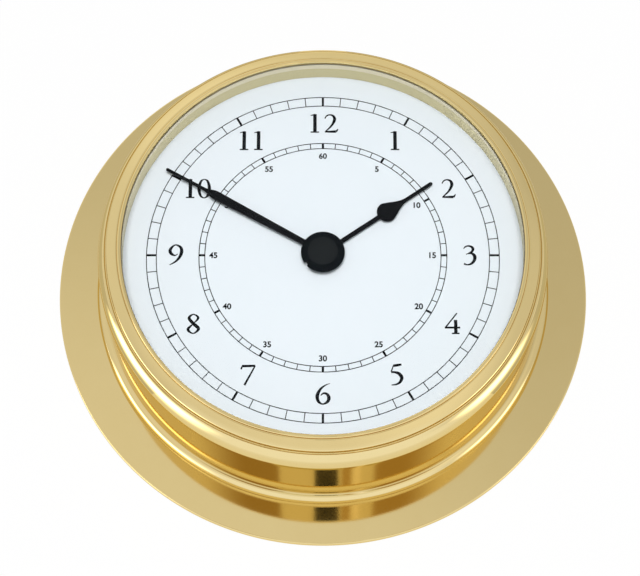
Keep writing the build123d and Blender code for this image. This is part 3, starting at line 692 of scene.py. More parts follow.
def satin_brass():
    """Pale satin brass, lighter in a band below the glass."""
    material, tree, shader = mottled(
        "satin_brass", (0.66, 0.57, 0.33), (0.64, 0.55, 0.315), 30.0, 0.2, 0.26, Metallic=1.0
    )
    split = add_node(tree, "ShaderNodeSeparateXYZ", Vector=object_coordinates(tree))
    start, end = BAND_FOOT - BAND_EASE, BAND_FOOT + BAND_EASE
    band = rising(tree, split.outputs["Z"], start, end, kind="SMOOTHSTEP")
    lay_over(tree, shader, band, (0.78, 0.68, 0.49, 1))
    return material


def cap_black():
    """Black plastic with a satin top, and painted shade that makes its sloping bevel darker."""
    material, tree, shader = mottled(
        "cap_plastic", *CAP_BLACKS, 140.0, 0.4, 0.5, 0.05, Specular_IOR_Level=0.03
    )
    place_in = object_coordinates(tree)
    flat = calculate(tree, "MULTIPLY", place_in, (1, 1, 0), kind="ShaderNodeVectorMath")
    reach = calculate(tree, "LENGTH", flat, kind="ShaderNodeVectorMath").outputs["Value"]
    # Painted shade: the sloping bevel round the top gets a darker colour that stands for the shade on
    # it.
    bevel = rising(tree, reach, CAP_TOP_RADIUS - FINE_EDGE, CAP_TOP_RADIUS + FINE_EDGE)
    lay_over(tree, shader, bevel, (0.0028, 0.0042, 0.0055, 1))
    return material


def clear_glass():
    """Thin clear glass with a low-reflection coating and a trace of haze."""
    material, _, shader = mottled(
        "clear_glass", (1, 1, 1), (0.985, 0.995, 0.992), 14.0, 0.0, 0.006, IOR=1.5
    )
    set_inputs(shader, Transmission_Weight=1.0, Specular_Tint=(0.08, 0.09, 0.1, 1))
    return material


def metal(*looks):
    """A plain metal with a little wander in its tone."""
    return simple(*looks, Metallic=1.0)


def moulded(name, dark, pale, rough=0.42):
    """Moulded plastic with a fine spark-eroded grain."""
    return simple(name, dark, pale, 420.0, rough, rough + 0.12, 0.25, Specular_IOR_Level=0.4)


def cell_sleeve():
    """Printed sleeve of the battery cell, with a pale band towards its positive end."""
    dark, pale, steel = (0.05, 0.06, 0.08), (0.62, 0.6, 0.55), (0.55, 0.55, 0.54)
    material, tree, shader = mottled(
        "cell_sleeve", dark, (0.062, 0.073, 0.097), 180.0, 0.28, 0.36
    )
    low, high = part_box("battery_cell")
    split = add_node(tree, "ShaderNodeSeparateXYZ", Vector=object_coordinates(tree))
    along = rising(tree, split.outputs["X"], low.x, high.x)
    band = add_node(tree, "ShaderNodeValToRGB", Fac=along)
    ramp = band.color_ramp
    ramp.interpolation = "CONSTANT"
    ramp.elements[0].color = (*steel, 1)
    ramp.elements[1].position = 0.03
    ramp.elements[1].color = (*dark, 1)
    for position, shade in ((0.74, pale), (0.965, steel)):
        ramp.elements.new(position).color = (*shade, 1)
    set_inputs(shader, Base_Color=band)
    return material


def copper_winding():
    """Lacquered copper wire, its turns side by side along X."""
    material, tree, shader = mottled(
        "copper_winding", (0.62, 0.24, 0.1), (0.5, 0.18, 0.07), 300.0, 0.3, 0.42, Metallic=1.0
    )
    wave = add_node(tree, "ShaderNodeTexWave", Vector=object_coordinates(tree), Scale=1600.0)
    wave.bands_direction = "X"
    add_bump(tree, shader, wave.outputs["Fac"], 0.5, WIRE_DEPTH)
    return material


brass = polished_brass()
ring_brass = satin_brass()
cap_plastic = cap_black()
glass = clear_glass()
enamel = simple("white_enamel", *DIAL_WHITES, 35.0, 0.42, 0.5, 0.04, Specular_IOR_Level=0.2)
lacquer = simple("black_enamel", *HAND_BLACKS, 140.0, 0.36, 0.46, 0.05, Specular_IOR_Level=0.03)
ink = simple("printing_ink", *INK_BLACKS, 260.0, 0.5, 0.62, Specular_IOR_Level=0.04)
gasket_rubber = simple("gasket_rubber", (0.16, 0.15, 0.105), (0.2, 0.185, 0.13), 300.0, 0.6, 0.7)
rubber = simple("black_rubber", (0.012, 0.012, 0.013), (0.02, 0.02, 0.021), 300.0, 0.7, 0.8, 0.2)


# Case

def make_cutter(name, rows):
    """Cones set round the axis, each with its middle in the flange's back face.

    A row gives a circle's radius, the count, the first angle, both radii and half the depth.
    """
    bm = bmesh.new()
    for circle_radius, count, start, low_radius, high_radius, half_depth in rows:
        for index in range(count):
            x, y = place(circle_radius, start + FULL_TURN * index / count)
            bmesh.ops.create_cone(
                bm,
                cap_ends=True,
                segments=DRILL_SEGMENTS,
                radius1=low_radius,
                radius2=high_radius,
                depth=2 * half_depth,
                matrix=Matrix.Translation((x, y, 0)),
            )
    return add_built(name, bm)


def make_flange():
    """Wall flange with its screw holes and countersinks."""
    corners = [(BACK_OPENING_RADIUS, 0, FINE_EDGE), (FLANGE_RADIUS, 0, FINE_EDGE)]
    corners.append((FLANGE_RADIUS, FLANGE_TOP, FLANGE_EDGE))
    corners.append((BACK_OPENING_RADIUS, FLANGE_TOP, FINE_EDGE))
    flange = turned("wall_flange", eased_profile(corners))
    wall_ring = (WALL_SCREW_CIRCLE, WALL_SCREW_COUNT, math.pi / 2)
    base_ring = (BASE_SCREW_CIRCLE, BASE_SCREW_COUNT, math.pi / 4)
    through = 2 * FLANGE_TOP
    holes = [(*wall_ring, WALL_SCREW_HOLE, WALL_SCREW_HOLE, through)]
    holes.append((*base_ring, BASE_SCREW_HOLE, BASE_SCREW_HOLE, through))
    depth = BASE_SCREW_SINK_DEPTH
    sinks = [(*base_ring, BASE_SCREW_SINK + depth, BASE_SCREW_SINK - depth, depth)]
    cutters = [make_cutter("drills", holes), make_cutter("countersinks", sinks)]
    for cutter in cutters:
        cut = flange.modifiers.new(cutter.name, "BOOLEAN")
        cut.object = cutter
        cut.solver = "EXACT"
    settle(flange)
    for cutter in cutters:
        bpy.data.objects.remove(cutter)
    smooth(flange)
    dress(flange, "case", "polished_brass", brass, "base_flange")


def make_drum():
    """Drum with its foot bead and the neck under the bezel."""
    bead_centre = (DRUM_REACH - BEAD_RADIUS, FLANGE_TOP + BEAD_LIFT)
    foot = bead_centre[0] + math.sqrt(BEAD_RADIUS**2 - BEAD_LIFT**2)
    inward = bead_centre[0] - DRUM_RADIUS
    crease = bead_centre[1] + math.sqrt(BEAD_RADIUS**2 - inward**2) + BEAD_CREASE_LIFT
    bead_ends = (foot, FLANGE_TOP), (DRUM_RADIUS, crease)
    bead = arc_through(bead_ends[0], (DRUM_REACH, bead_centre[1]), bead_ends[1], BEAD_STEPS)
    profile = [(DRUM_BORE, FLANGE_TOP)] + bead
    profile += [(DRUM_RADIUS, DIAL_BACK), (NECK_RADIUS, DIAL_BACK), (NECK_RADIUS, NECK_TOP)]
    profile += [(NECK_BORE, NECK_TOP), (NECK_BORE, DIAL_BACK), (DRUM_BORE, DIAL_BACK)]
    turned_piece("case_drum_turned", profile, "polished_brass", brass, "case_drum")


def make_bezel():
    """Bezel ring: skirt, rounded shoulder, step, crowned land, groove and lip."""
    land_edge = LIP_TOP - LAND_DROP
    step_foot = land_edge - STEP_HEIGHT
    skirt_top = DIAL_BACK + SKIRT_HEIGHT
    drop, rise = DRUM_RADIUS - STEP_RADIUS, step_foot - skirt_top
    turns = [math.pi / 2 * step / SHOULDER_STEPS for step in range(SHOULDER_STEPS + 1)]
    turns = [turn for turn in turns if drop * math.cos(turn) > STEP_GROOVE_WIDTH]
    shoulder = [(STEP_RADIUS + drop * math.cos(t), skirt_top + rise * math.sin(t)) for t in turns]
    foot, edge = (STEP_RADIUS, step_foot), (STEP_RADIUS, land_edge)
    groove_middle = (STEP_RADIUS + STEP_GROOVE_WIDTH / 2, step_foot - STEP_GROOVE_DEPTH)
    step_groove = arc_through(shoulder[-1], groove_middle, foot, GROOVE_STEPS)[1:]
    groove_start = LIP_RADIUS + LIP_WIDTH
    land_start = groove_start + GROOVE_WIDTH
    land_inner = LIP_TOP - GROOVE_DEPTH
    land_middle = ((land_start + STEP_RADIUS) / 2, (land_inner + land_edge) / 2 + LAND_CROWN)
    inner = NECK_RADIUS + SLIP
    land = arc_through(edge, land_middle, (land_start, land_inner), LAND_STEPS)
    land_corner = eased(foot, edge, land[1], LAND_EDGE)
    groove_foot = (groove_start, land_inner - GROOVE_DEPTH)
    groove_edge = eased(land[-2], land[-1], groove_foot, LIP_GROOVE_EDGE)
    land = [point for point in land if groove_edge[0][0] < point[0] < land_corner[-1][0]]
    lip_middle = (LIP_RADIUS + LIP_WIDTH / 2, LIP_TOP)
    lip_ends = (groove_start, land_inner), (LIP_RADIUS, land_inner)
    lip = arc_through(lip_ends[0], lip_middle, lip_ends[1], LIP_STEPS)
    profile = [(inner, DIAL_BACK), (DRUM_RADIUS, DIAL_BACK)] + shoulder + step_groove
    profile += land_corner + land + groove_edge + [groove_foot] + lip
    profile += [(LIP_RADIUS, LIP_BOTTOM), (CRYSTAL_POCKET, LIP_BOTTOM)]
    profile += [(CRYSTAL_POCKET, NECK_TOP + SLIP), (inner, NECK_TOP + SLIP)]
    turned_piece("bezel_turned", profile, "polished_brass", brass, "bezel_ring")


def make_reflector():
    """Sloping brass ring between the dial and the crystal."""
    profile = [(REFLECTOR_FOOT, DIAL_TOP), (DIAL_RADIUS, DIAL_TOP)]
    profile += [(DIAL_RADIUS, CRYSTAL_LOW), (REFLECTOR_TOP, CRYSTAL_LOW)]
    turned_piece("reflector_turned", profile, "polished_brass", ring_brass, "reflector_ring")


def make_crystal():
    """Flat crystal with bevelled edges."""
    edge = CRYSTAL_RADIUS - CRYSTAL_EDGE
    profile = [(0, CRYSTAL_LOW), (edge, CRYSTAL_LOW), (CRYSTAL_RADIUS, CRYSTAL_LOW + CRYSTAL_EDGE)]
    profile += [(CRYSTAL_RADIUS, CRYSTAL_TOP - CRYSTAL_EDGE), (edge, CRYSTAL_TOP), (0, CRYSTAL_TOP)]
    crystal = turned_piece("crystal_disc", profile, "clear_glass", glass, "crystal")
    crystal.visible_shadow = False


def make_gasket():
    """Thin gasket that the lip presses on the crystal."""
    radii, heights = (GASKET_BORE, CRYSTAL_RADIUS), (CRYSTAL_TOP, LIP_BOTTOM)
    ring_piece("gasket_ring", radii, heights, "black_rubber", gasket_rubber, "crystal_gasket")


def make_dial():
    """White dial plate."""
    radii, heights = (DIAL_HOLE, DIAL_RADIUS), (DIAL_BACK, DIAL_TOP)
    ring_piece("dial_enamelled", radii, heights, "white_dial", enamel, "dial_plate")


# Hands

def make_hand(body, outline, bore, low, high, angle):
    """A hand stamped from sheet, turned to its clock angle."""
    outlines = [outline, circle(bore, HAND_BORE_STEPS)]
    hand = flat_plate(f"{body}_hand_stamped", outlines, low, high, HAND_EDGE)
    hand.data.transform(Matrix.Rotation(clock_turn(angle), 4, "Z"))
    smooth(hand, HAND_SHARP_ANGLE)
    dress(hand, body, "black_lacquer", lacquer, f"{body}_hand")


def make_cap():
    """Bevelled hub cap with a notch in its rim."""
    middle = math.pi / 2 + clock_turn(CAP_NOTCH_ANGLE)
    floor_radius = CAP_RADIUS - CAP_NOTCH_DEPTH
    half = CAP_NOTCH_WIDTH / 2 / (CAP_RADIUS - CAP_NOTCH_DEPTH / 2)
    wall = half * NOTCH_WALL_SHARE
    sweep = FULL_TURN - 2 * half
    angles = [middle + half + sweep * step / CAP_STEPS for step in range(CAP_STEPS + 1)]
    angles += [middle + (half - wall) * (s / NOTCH_STEPS - 1) for s in range(2 * NOTCH_STEPS + 1)]
    corners = [(0, CAP_LOW, 0), (CAP_RADIUS, CAP_LOW, 0)]
    corners += [(CAP_RADIUS, CAP_LOW + CAP_RIM, FINE_EDGE), (CAP_TOP_RADIUS, CAP_TOP, FINE_EDGE)]
    corners.append((0, CAP_TOP, 0))

    def notch(angle):
        away = abs((angle - middle + math.pi) % FULL_TURN - math.pi)
        return floor_radius if away < half - wall / 2 else CAP_RADIUS

    cap = turned("hub_cap", eased_profile(corners), angles, notch)
    smooth(cap, CAP_SHARP_ANGLE)
    dress(cap, "minute", "black_lacquer", cap_plastic, "hand_cap")


# Dial print

def build_bar_ring():
    """Geometry tree: bars set round a circle, each pointing at its centre."""
    tree, given, result = node_group(
        "bar_ring",
        "GeometryNodeTree",
        {
            "Count": "Int",
            "Radius": "Float",
            "Length": "Float",
            "Width": "Float",
            "Thickness": "Float",
            "Base": "Float",
            "Material": "Material",
        },
        {"Geometry": "Geometry"},
    )
    points = add_node(
        tree, "GeometryNodeMeshCircle", Vertices=given["Count"], Radius=given["Radius"]
    )
    size = add_node(tree, "ShaderNodeCombineXYZ")
    feed(size, given["Length"], given["Width"], given["Thickness"])
    bar = add_node(tree, "GeometryNodeMeshCube", Size=size)
    pitch = calculate(tree, "DIVIDE", FULL_TURN, given["Count"])
    turn = calculate(tree, "MULTIPLY", tree.nodes.new("GeometryNodeInputIndex"), pitch)
    spin = add_node(tree, "ShaderNodeCombineXYZ", Z=turn)
    ring = add_node(
        tree, "GeometryNodeInstanceOnPoints", Points=points, Instance=bar, Rotation=spin
    )
    lift = calculate(tree, "MULTIPLY_ADD", given["Thickness"], 0.5, given["Base"])
    rise = add_node(tree, "ShaderNodeCombineXYZ", Z=lift)
    raised = add_node(tree, "GeometryNodeTransform", Geometry=ring, Translation=rise)
    plain = add_node(tree, "GeometryNodeRealizeInstances", Geometry=raised)
    painted = add_node(
        tree, "GeometryNodeSetMaterial", Geometry=plain, Material=given["Material"]
    )
    set_inputs(result, Geometry=painted)
    return tree


BAR_RING = build_bar_ring()


def make_bars(name, count, track, width):
    """Printed division bars across a track."""
    piece = add_object(name, bpy.data.meshes.new(name))
    modifier = piece.modifiers.new("bars", "NODES")
    modifier.node_group = BAR_RING
    values = {
        "Count": count,
        "Radius": sum(track) / 2,
        "Length": track[1] - track[0],
        "Width": width,
        "Thickness": INK_HEIGHT,
        "Base": DIAL_TOP,
        "Material": ink,
    }
    for socket in BAR_RING.interface.items_tree:
        if socket.in_out == "INPUT":
            modifier[socket.identifier] = values[socket.name]
    settle(piece)
    dress(piece, "case", "black_lacquer", ink)


def make_ring_line(name, radius):
    """A thin printed circle."""
    radii = (radius - RING_LINE / 2, radius + RING_LINE / 2)
    ring_piece(name, radii, (DIAL_TOP, DIAL_TOP + INK_HEIGHT), "black_lacquer", ink)


# Pen strokes of the hour numerals as (x, y, pen width), in shares of their height. A stroke
# that ends where it starts is closed.
DIGIT_STROKE_SHARES = {
    "0": [[(0.345, 0.98, 0.045), (0.16, 0.86, 0.1), (0.075, 0.49, 0.145), (0.16, 0.12, 0.1),
           (0.345, 0.0, 0.045), (0.53, 0.12, 0.1), (0.615, 0.49, 0.145), (0.53, 0.86, 0.1),
           (0.345, 0.98, 0.045)]],
    "1": [[(0.15, 0.925, 0.03), (0.28, 0.955, 0.05), (0.4, 0.99, 0.06)],
          [(0.38, 1.0, 0.155), (0.38, 0.02, 0.155)], [(0.15, 0.022, 0.055), (0.6, 0.022, 0.055)]],
    "2": [[(0.03, 0.76, 0.05), (0.12, 0.9, 0.055), (0.29, 0.96, 0.06), (0.47, 0.9, 0.1),
           (0.545, 0.74, 0.14), (0.5, 0.57, 0.12), (0.35, 0.33, 0.08), (0.05, 0.04, 0.05)],
          [(0.03, 0.04, 0.06), (0.4, 0.045, 0.1), (0.62, 0.05, 0.11)],
          [(0.62, 0.05, 0.1), (0.69, 0.13, 0.06), (0.735, 0.2, 0.02)]],
    "3": [[(0.05, 0.83, 0.03), (0.13, 0.93, 0.06), (0.3, 0.985, 0.065), (0.47, 0.93, 0.1),
           (0.54, 0.82, 0.12), (0.47, 0.68, 0.09), (0.28, 0.585, 0.05)],
          [(0.17, 0.55, 0.03), (0.34, 0.595, 0.06), (0.5, 0.58, 0.1), (0.62, 0.43, 0.15),
           (0.58, 0.22, 0.13), (0.42, 0.06, 0.09), (0.23, 0.01, 0.06), (0.05, 0.06, 0.08)]],
    "4": [[(0.64, 1.04, 0.05), (0.03, 0.31, 0.06)], [(0.0, 0.31, 0.075), (0.79, 0.315, 0.075)],
          [(0.565, 0.7, 0.145), (0.565, 0.02, 0.145)], [(0.36, 0.02, 0.055), (0.75, 0.02, 0.055)]],
    "5": [[(0.12, 0.97, 0.1), (0.35, 1.0, 0.11), (0.55, 1.03, 0.08)],
          [(0.13, 0.97, 0.05), (0.02, 0.66, 0.06)],
          [(0.02, 0.65, 0.08), (0.2, 0.65, 0.09), (0.42, 0.57, 0.13), (0.55, 0.38, 0.15),
           (0.47, 0.17, 0.11), (0.28, 0.05, 0.07), (0.03, 0.015, 0.035)]],
    "6": [[(0.73, 1.03, 0.02), (0.5, 0.95, 0.05), (0.24, 0.75, 0.1), (0.08, 0.43, 0.15),
           (0.14, 0.15, 0.12), (0.36, 0.02, 0.06), (0.6, 0.14, 0.12), (0.665, 0.32, 0.15),
           (0.58, 0.5, 0.11), (0.4, 0.55, 0.07), (0.25, 0.44, 0.04)]],
    "7": [[(0.02, 0.79, 0.07), (0.07, 0.93, 0.07)], [(0.06, 0.95, 0.1), (0.74, 0.965, 0.09)],
          [(0.73, 0.96, 0.06), (0.2, 0.01, 0.09)]],
    "8": [[(0.33, 0.98, 0.05), (0.1, 0.8, 0.12), (0.33, 0.51, 0.14), (0.6, 0.25, 0.13),
           (0.33, 0.02, 0.05), (0.06, 0.22, 0.12), (0.33, 0.51, 0.05), (0.57, 0.8, 0.1),
           (0.33, 0.98, 0.05)]],
    "9": [[(0.45, 0.57, 0.03), (0.3, 0.49, 0.06), (0.1, 0.6, 0.13), (0.06, 0.8, 0.13),
           (0.3, 1.03, 0.06), (0.57, 0.93, 0.11), (0.65, 0.7, 0.15), (0.56, 0.42, 0.12),
           (0.35, 0.18, 0.08), (0.04, 0.0, 0.03)]],
}
DIGIT_WIDTH_SHARE = 0.92
DIGIT_ADVANCE_SHARE = 0.7
DIGIT_MIDDLE_SHARE = 0.335
PAIR_KERN_SHARES = {"12": 0.11}
PEN_WEIGHT_SHARE = 1.2


def flowing(points, steps=10):
    """Points of a smooth line through the given ones."""
    if len(points) < 3:
        return [Vector(point) for point in points]
    closed = points[0] == points[-1]
    knots = [Vector(point) for point in (points[:-1] if closed else points)]
    count = len(knots)
    line = []
    for index in range(count if closed else count - 1):
        if closed:
            a, b, c, d = (knots[(index + offset) % count] for offset in (-1, 0, 1, 2))
        else:
            a, b = knots[max(index - 1, 0)], knots[index]
            c, d = knots[index + 1], knots[min(index + 2, count - 1)]
        for step in range(steps):
            t = step / steps
            bend = (2 * a - 5 * b + 4 * c - d) * t**2
            line.append(0.5 * (2 * b + (c - a) * t + bend + (3 * b - a - 3 * c + d) * t**3))
    if not closed:
        line.append(knots[-1])
    return line


def add_pen_stroke(bm, points, origin, height):
    """Add one stroke of a pen that widens and narrows as it goes."""
    line = flowing(points)
    closed = len(points) > 2 and points[0] == points[-1]
    count = len(line)
    sections = []
    for index, point in enumerate(line):
        before = line[index - 1] if closed or index else line[index]
        after = line[(index + 1) % count] if closed or index < count - 1 else line[index]
        along = (after - before).xy.normalized()
        side = Vector((-along.y, along.x)) * point.z * PEN_WEIGHT_SHARE / 2
        corners = []
        for level in (DIAL_TOP, DIAL_TOP + INK_HEIGHT):
            for edge in (point.xy + side, point.xy - side):
                spot = Vector(origin) + Vector((edge.x * DIGIT_WIDTH_SHARE, edge.y)) * height
                corners.append(bm.verts.new((spot.x, spot.y, level)))
        sections.append(corners)
    spans = count if closed else count - 1
    for index in range(spans):
        a, b = sections[index], sections[(index + 1) % count]
        for i, j in ((0, 1), (1, 3), (3, 2), (2, 0)):
            bm.faces.new((a[i], a[j], b[j], b[i]))
    if not closed:
        for a, b, c, d in (sections[0], sections[-1]):
            bm.faces.new((a, b, d, c))


def make_hour_numeral(hour):
    """One upright hour numeral."""
    digits = str(hour)
    step = (DIGIT_ADVANCE_SHARE + PAIR_KERN_SHARES.get(digits, 0)) * HOUR_NUMERAL_HEIGHT
    x, y = place(HOUR_NUMERAL_RADIUS, math.pi / 2 + clock_turn(360 * hour / HOUR_COUNT))
    pen_x = x - DIGIT_MIDDLE_SHARE * HOUR_NUMERAL_HEIGHT - step * (len(digits) - 1) / 2
    pen_y = y - HOUR_NUMERAL_HEIGHT / 2
    bm = bmesh.new()
    for digit in digits:
        for stroke in DIGIT_STROKE_SHARES[digit]:
            add_pen_stroke(bm, stroke, (pen_x, pen_y), HOUR_NUMERAL_HEIGHT)
        pen_x += step
    bmesh.ops.recalc_face_normals(bm, faces=bm.faces)
    numeral = add_built(f"hour_numeral_{hour:02d}", bm)
    dress(numeral, "case", "black_lacquer", ink)


def make_minute_numeral(minute):
    """One small upright minute numeral."""
    name = f"minute_numeral_{minute:02d}"
    text = bpy.data.curves.new(name, "FONT")
    text.body = str(minute)
    text.extrude = 0.5
    text.offset = MINUTE_NUMERAL_WEIGHT_SHARE
    mesh = curve_mesh(text)
    xs = [vertex.co.x for vertex in mesh.vertices]
    ys = [vertex.co.y for vertex in mesh.vertices]
    scale = MINUTE_NUMERAL_HEIGHT / (max(ys) - min(ys))
    x, y = place(MINUTE_NUMERAL_RADIUS, math.pi / 2 + clock_turn(360 * minute / TRACK_DIVISIONS))
    centre = Matrix.Translation((-(max(xs) + min(xs)) / 2, -(max(ys) + min(ys)) / 2, 0))
    sized = Matrix.Diagonal((scale, scale, INK_HEIGHT, 1))
    mesh.transform(Matrix.Translation((x, y, DIAL_TOP + INK_HEIGHT / 2)) @ sized @ centre)
    dress(add_object(name, mesh), "case", "black_lacquer", ink)


def make_print():
    """Both division tracks and all the numerals."""
    for name, track in (("hour_track", HOUR_TRACK), ("minute_track", MINUTE_TRACK)):
        make_ring_line(f"{name}_inner_line", track[0])
        make_ring_line(f"{name}_outer_line", track[1])
        make_bars(f"{name}_fine_bars", TRACK_DIVISIONS, track, FINE_BAR)
        make_bars(f"{name}_bold_bars", HOUR_COUNT, track, BOLD_BAR)
    for hour in range(1, HOUR_COUNT + 1):
        make_hour_numeral(hour)
        make_minute_numeral(hour * TRACK_DIVISIONS // HOUR_COUNT)


# Movement and fixings, which keep their solids

def finish_movement():
    """Give each remaining solid its finish."""
    greens = ((0.012, 0.1, 0.03), (0.02, 0.16, 0.05))
    ivories = ((0.62, 0.56, 0.42), (0.68, 0.62, 0.49))
    finishes = {
        "polished_brass": brass,
        "plain_brass": metal("gear_brass", (0.62, 0.47, 0.2), (0.52, 0.38, 0.15), 120.0, 0.22, 0.32),
        "bright_steel": metal("bright_steel", (0.56, 0.57, 0.58), (0.44, 0.45, 0.46), 150.0, 0.2, 0.34),
        "dark_magnet": metal("dark_magnet", (0.06, 0.06, 0.065), (0.09, 0.09, 0.095), 220.0, 0.4, 0.55),
        "black_rubber": rubber,
        "black_lacquer": lacquer,
        "black_plastic": moulded("black_plastic", (0.012, 0.012, 0.013), (0.02, 0.02, 0.022)),
        "ivory_plastic": moulded("ivory_plastic", *ivories, 0.36),
        "green_board": simple("green_board", *greens, 260.0, 0.35, 0.45, 0.1),
        "copper_wire": copper_winding(),
        "cell_wrap": cell_sleeve(),
    }
    for part in frame["record"]["subparts"]:
        node = frame["nodes"][part["node"]]
        if node.hide_render:
            continue
        node.data.materials.clear()
        node.data.materials.append(finishes[part["material_slot"]])


# Studio

def bare_tree(owner):
    """The emptied node tree of a material or a world."""
    owner.use_nodes = True
    owner.node_tree.nodes.clear()
    return owner.node_tree


def seen_ray(tree):
    """One where the camera looks, straight or by mirrors and glass alone, and nought elsewhere."""
    path = tree.nodes.new("ShaderNodeLightPath").outputs
    total = calculate(tree, "MAXIMUM", path["Is Camera Ray"], path["Is Glossy Ray"])
    total = calculate(tree, "MAXIMUM", total, path["Is Transmission Ray"])
    straight = calculate(tree, "LESS_THAN", path["Diffuse Depth"], 0.5)
    return calculate(tree, "MULTIPLY", total, straight)


def make_floor():
    """Plain pale floor that keeps a soft shadow."""
    half, low = FLOOR_HALF, FLOOR_HEIGHT
    mesh = bpy.data.meshes.new("floor")
    corners = [(-half, -half, low), (half, -half, low), (half, half, low), (-half, half, low)]
    mesh.from_pydata(corners, [], [(0, 1, 2, 3)])
    floor = add_object("floor", mesh)
    material = bpy.data.materials.new("pale_floor")
    tree = bare_tree(material)
    matt = add_node(tree, "ShaderNodeBsdfDiffuse", Color=FLOOR_PAINT)
    glow = add_node(tree, "ShaderNodeEmission", Color=WHITE, Strength=1.0)
    share = calculate(tree, "MULTIPLY", seen_ray(tree), FLOOR_GLOW_SHARE)
    add_node(tree, "ShaderNodeOutputMaterial", Surface=mixed_shader(tree, share, matt, glow))
    mesh.materials.append(material)


def make_world():
    """White surroundings for what is seen, and a dimmer even light for the rest."""
    world = bpy.data.worlds.new("studio")
    bpy.context.scene.world = world
    tree = bare_tree(world)
    direction = tree.nodes.new("ShaderNodeTexCoord").outputs["Generated"]
    level = ROOM_LEVEL
    for towards, start, end, gain in ROOM_LOBES:
        aim = Vector(towards).normalized()
        facing = calculate(tree, "DOT_PRODUCT", direction, aim, kind="ShaderNodeVectorMath")
        lobe = rising(tree, facing.outputs["Value"], start, end, gain, "SMOOTHSTEP")
        level = calculate(tree, "ADD", lobe, level)
    panorama = add_node(tree, "ShaderNodeBackground", Color=ROOM_TINT, Strength=level)
    white = add_node(tree, "ShaderNodeBackground", Color=WHITE, Strength=1.0)
    even = add_node(tree, "ShaderNodeBackground", Color=WHITE, Strength=EVEN_LEVEL)
    glossy = tree.nodes.new("ShaderNodeLightPath").outputs["Is Glossy Ray"]
    reflected = mixed_shader(tree, glossy, white, panorama)
    choice = mixed_shader(tree, seen_ray(tree), even, reflected)
    add_node(tree, "ShaderNodeOutputWorld", Surface=choice)


def make_lamp():
    """A soft overhead lamp aimed at the clock, which shows in no reflection."""
    lamp = bpy.data.lights.new("overhead", "AREA")
    lamp.shape = "RECTANGLE"
    lamp.size, lamp.size_y = LAMP_SIZE
    lamp.energy = LAMP_RADIANCE * math.pi * LAMP_SIZE[0] * LAMP_SIZE[1]
    holder = add_object("overhead", lamp)
    holder.location = LAMP_PLACE
    holder.rotation_mode = "QUATERNION"
    holder.rotation_quaternion = (-Vector(LAMP_PLACE)).to_track_quat("-Z", "Y")
    holder.visible_camera = False
    holder.visible_glossy = False
    holder.visible_transmission = False


def ease(share, soft):
    """Nought at an edge, rising smoothly to one over the soft share beside it."""
    rise = min(share / soft, 1) if soft else 1
    return rise * rise * (3 - 2 * rise)


def make_card(name, sweep, turns, colour, radiance, soft):
    """A card swept round the clock's axis that shows only in polished metal."""
    near, far, first, last = soft
    line = [Vector(sweep[0])]
    for start, end in zip(sweep, sweep[1:]):
        for step in range(CARD_STEPS):
            line.append(Vector(start).lerp(Vector(end), (step + 1) / CARD_STEPS))
    total = sum((b - a).length for a, b in zip(line, line[1:]))
    shares = [0.0]
    for a, b in zip(line, line[1:]):
        shares.append(shares[-1] + (b - a).length / total)
    bm = bmesh.new()
    glow = bm.verts.layers.float.new("glow")
    rows = []
    for (radius, height), along in zip(line, shares):
        row = []
        for step in range(CARD_STEPS + 1):
            across = step / CARD_STEPS
            angle = math.radians(turns[0] + (turns[1] - turns[0]) * across)
            corner = bm.verts.new((*place(radius, angle), height))
            fade = ease(along, near) * ease(1 - along, far) * ease(across, first)
            corner[glow] = fade * ease(1 - across, last)
            row.append(corner)
        rows.append(row)
    for row, after in zip(rows, rows[1:]):
        for step in range(CARD_STEPS):
            bm.faces.new((row[step], after[step], after[step + 1], row[step + 1]))
    light_up(add_built(name, bm), colour, radiance)


def light_up(card, colour, radiance):
    """Make a card glow in reflections, and nowhere else, as strongly as its glow attribute."""
    material = bpy.data.materials.new(card.name)
    tree = bare_tree(material)
    shine = add_node(tree, "ShaderNodeEmission", Color=colour, Strength=radiance)
    clear = tree.nodes.new("ShaderNodeBsdfTransparent")
    strength = tree.nodes.new("ShaderNodeAttribute")
    strength.attribute_name = "glow"
    mix = mixed_shader(tree, strength.outputs["Fac"], clear, shine)
    add_node(tree, "ShaderNodeOutputMaterial", Surface=mix)
    card.data.materials.append(material)
    card.visible_camera = False
    card.visible_diffuse = False
    card.visible_shadow = False
    card.visible_transmission = False


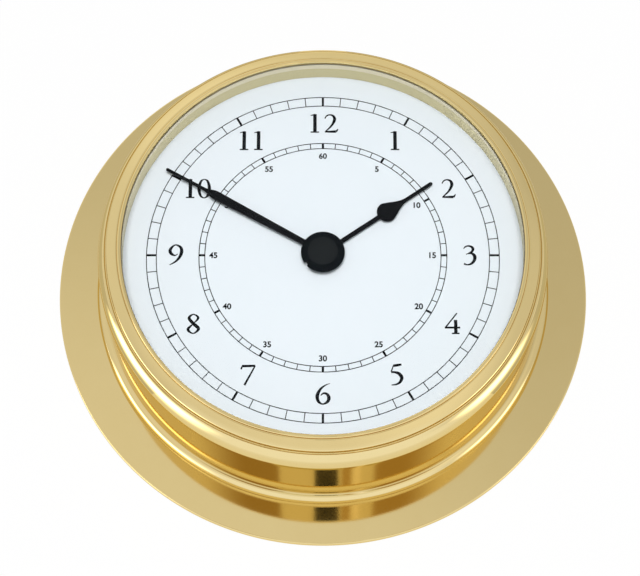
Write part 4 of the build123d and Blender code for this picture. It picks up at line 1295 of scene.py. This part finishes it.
def make_camera():
    """Camera at the height, distance and framing of the picture."""
    tilt = math.radians(CAMERA_TILT)
    data = bpy.data.cameras.new("camera")
    data.sensor_width = SENSOR_WIDTH
    data.lens = FOCAL_PIXELS * SENSOR_WIDTH / PICTURE_WIDTH
    data.shift_x = -(ORIGIN_PIXEL[0] - PICTURE_WIDTH / 2) / PICTURE_WIDTH
    data.shift_y = (ORIGIN_PIXEL[1] - PICTURE_HEIGHT / 2) / PICTURE_WIDTH
    data.clip_start = 0.01
    camera = bpy.data.objects.new("camera", data)
    bpy.context.scene.collection.objects.link(camera)
    camera.location = (0, -CAMERA_DISTANCE * math.sin(tilt), CAMERA_DISTANCE * math.cos(tilt))
    camera.rotation_euler = (tilt, 0, 0)
    bpy.context.scene.camera = camera
    return camera


def make_lens_card(camera):
    """Dark opening round the camera, which the polished wall mirrors."""
    left, right = LENS_CARD_ASIDE - LENS_CARD_HALF_WIDTH, LENS_CARD_ASIDE + LENS_CARD_HALF_WIDTH
    low, high = -LENS_CARD_HALF_HEIGHT, LENS_CARD_HALF_HEIGHT
    mesh = bpy.data.meshes.new("lens_card")
    corners = [(left, low), (right, low), (right, high), (left, high)]
    mesh.from_pydata([(x, y, LENS_CARD_BACK) for x, y in corners], [], [(0, 1, 2, 3)])
    mesh.transform(Matrix.LocRotScale(camera.location, camera.rotation_euler, None))
    glow = mesh.attributes.new("glow", "FLOAT", "POINT")
    glow.data.foreach_set("value", [1.0] * len(corners))
    light_up(add_object("lens_card", mesh), LENS_DARK, 1.0)


make_flange()
make_drum()
make_bezel()
make_reflector()
make_crystal()
make_gasket()
make_dial()
hour_levels, minute_levels = (HOUR_LOW, HOUR_TOP), (MINUTE_LOW, MINUTE_TOP)
make_hand("hour", hour_outline(), HOUR_BORE, *hour_levels, HOUR_ANGLE)
make_hand("minute", minute_outline(), MINUTE_BORE, *minute_levels, MINUTE_ANGLE)
make_cap()
make_print()
finish_movement()

make_floor()
make_world()
make_lamp()
for card in CARDS:
    make_card(*card)
make_lens_card(make_camera())
bpy.context.scene.view_settings.view_transform = "Standard"
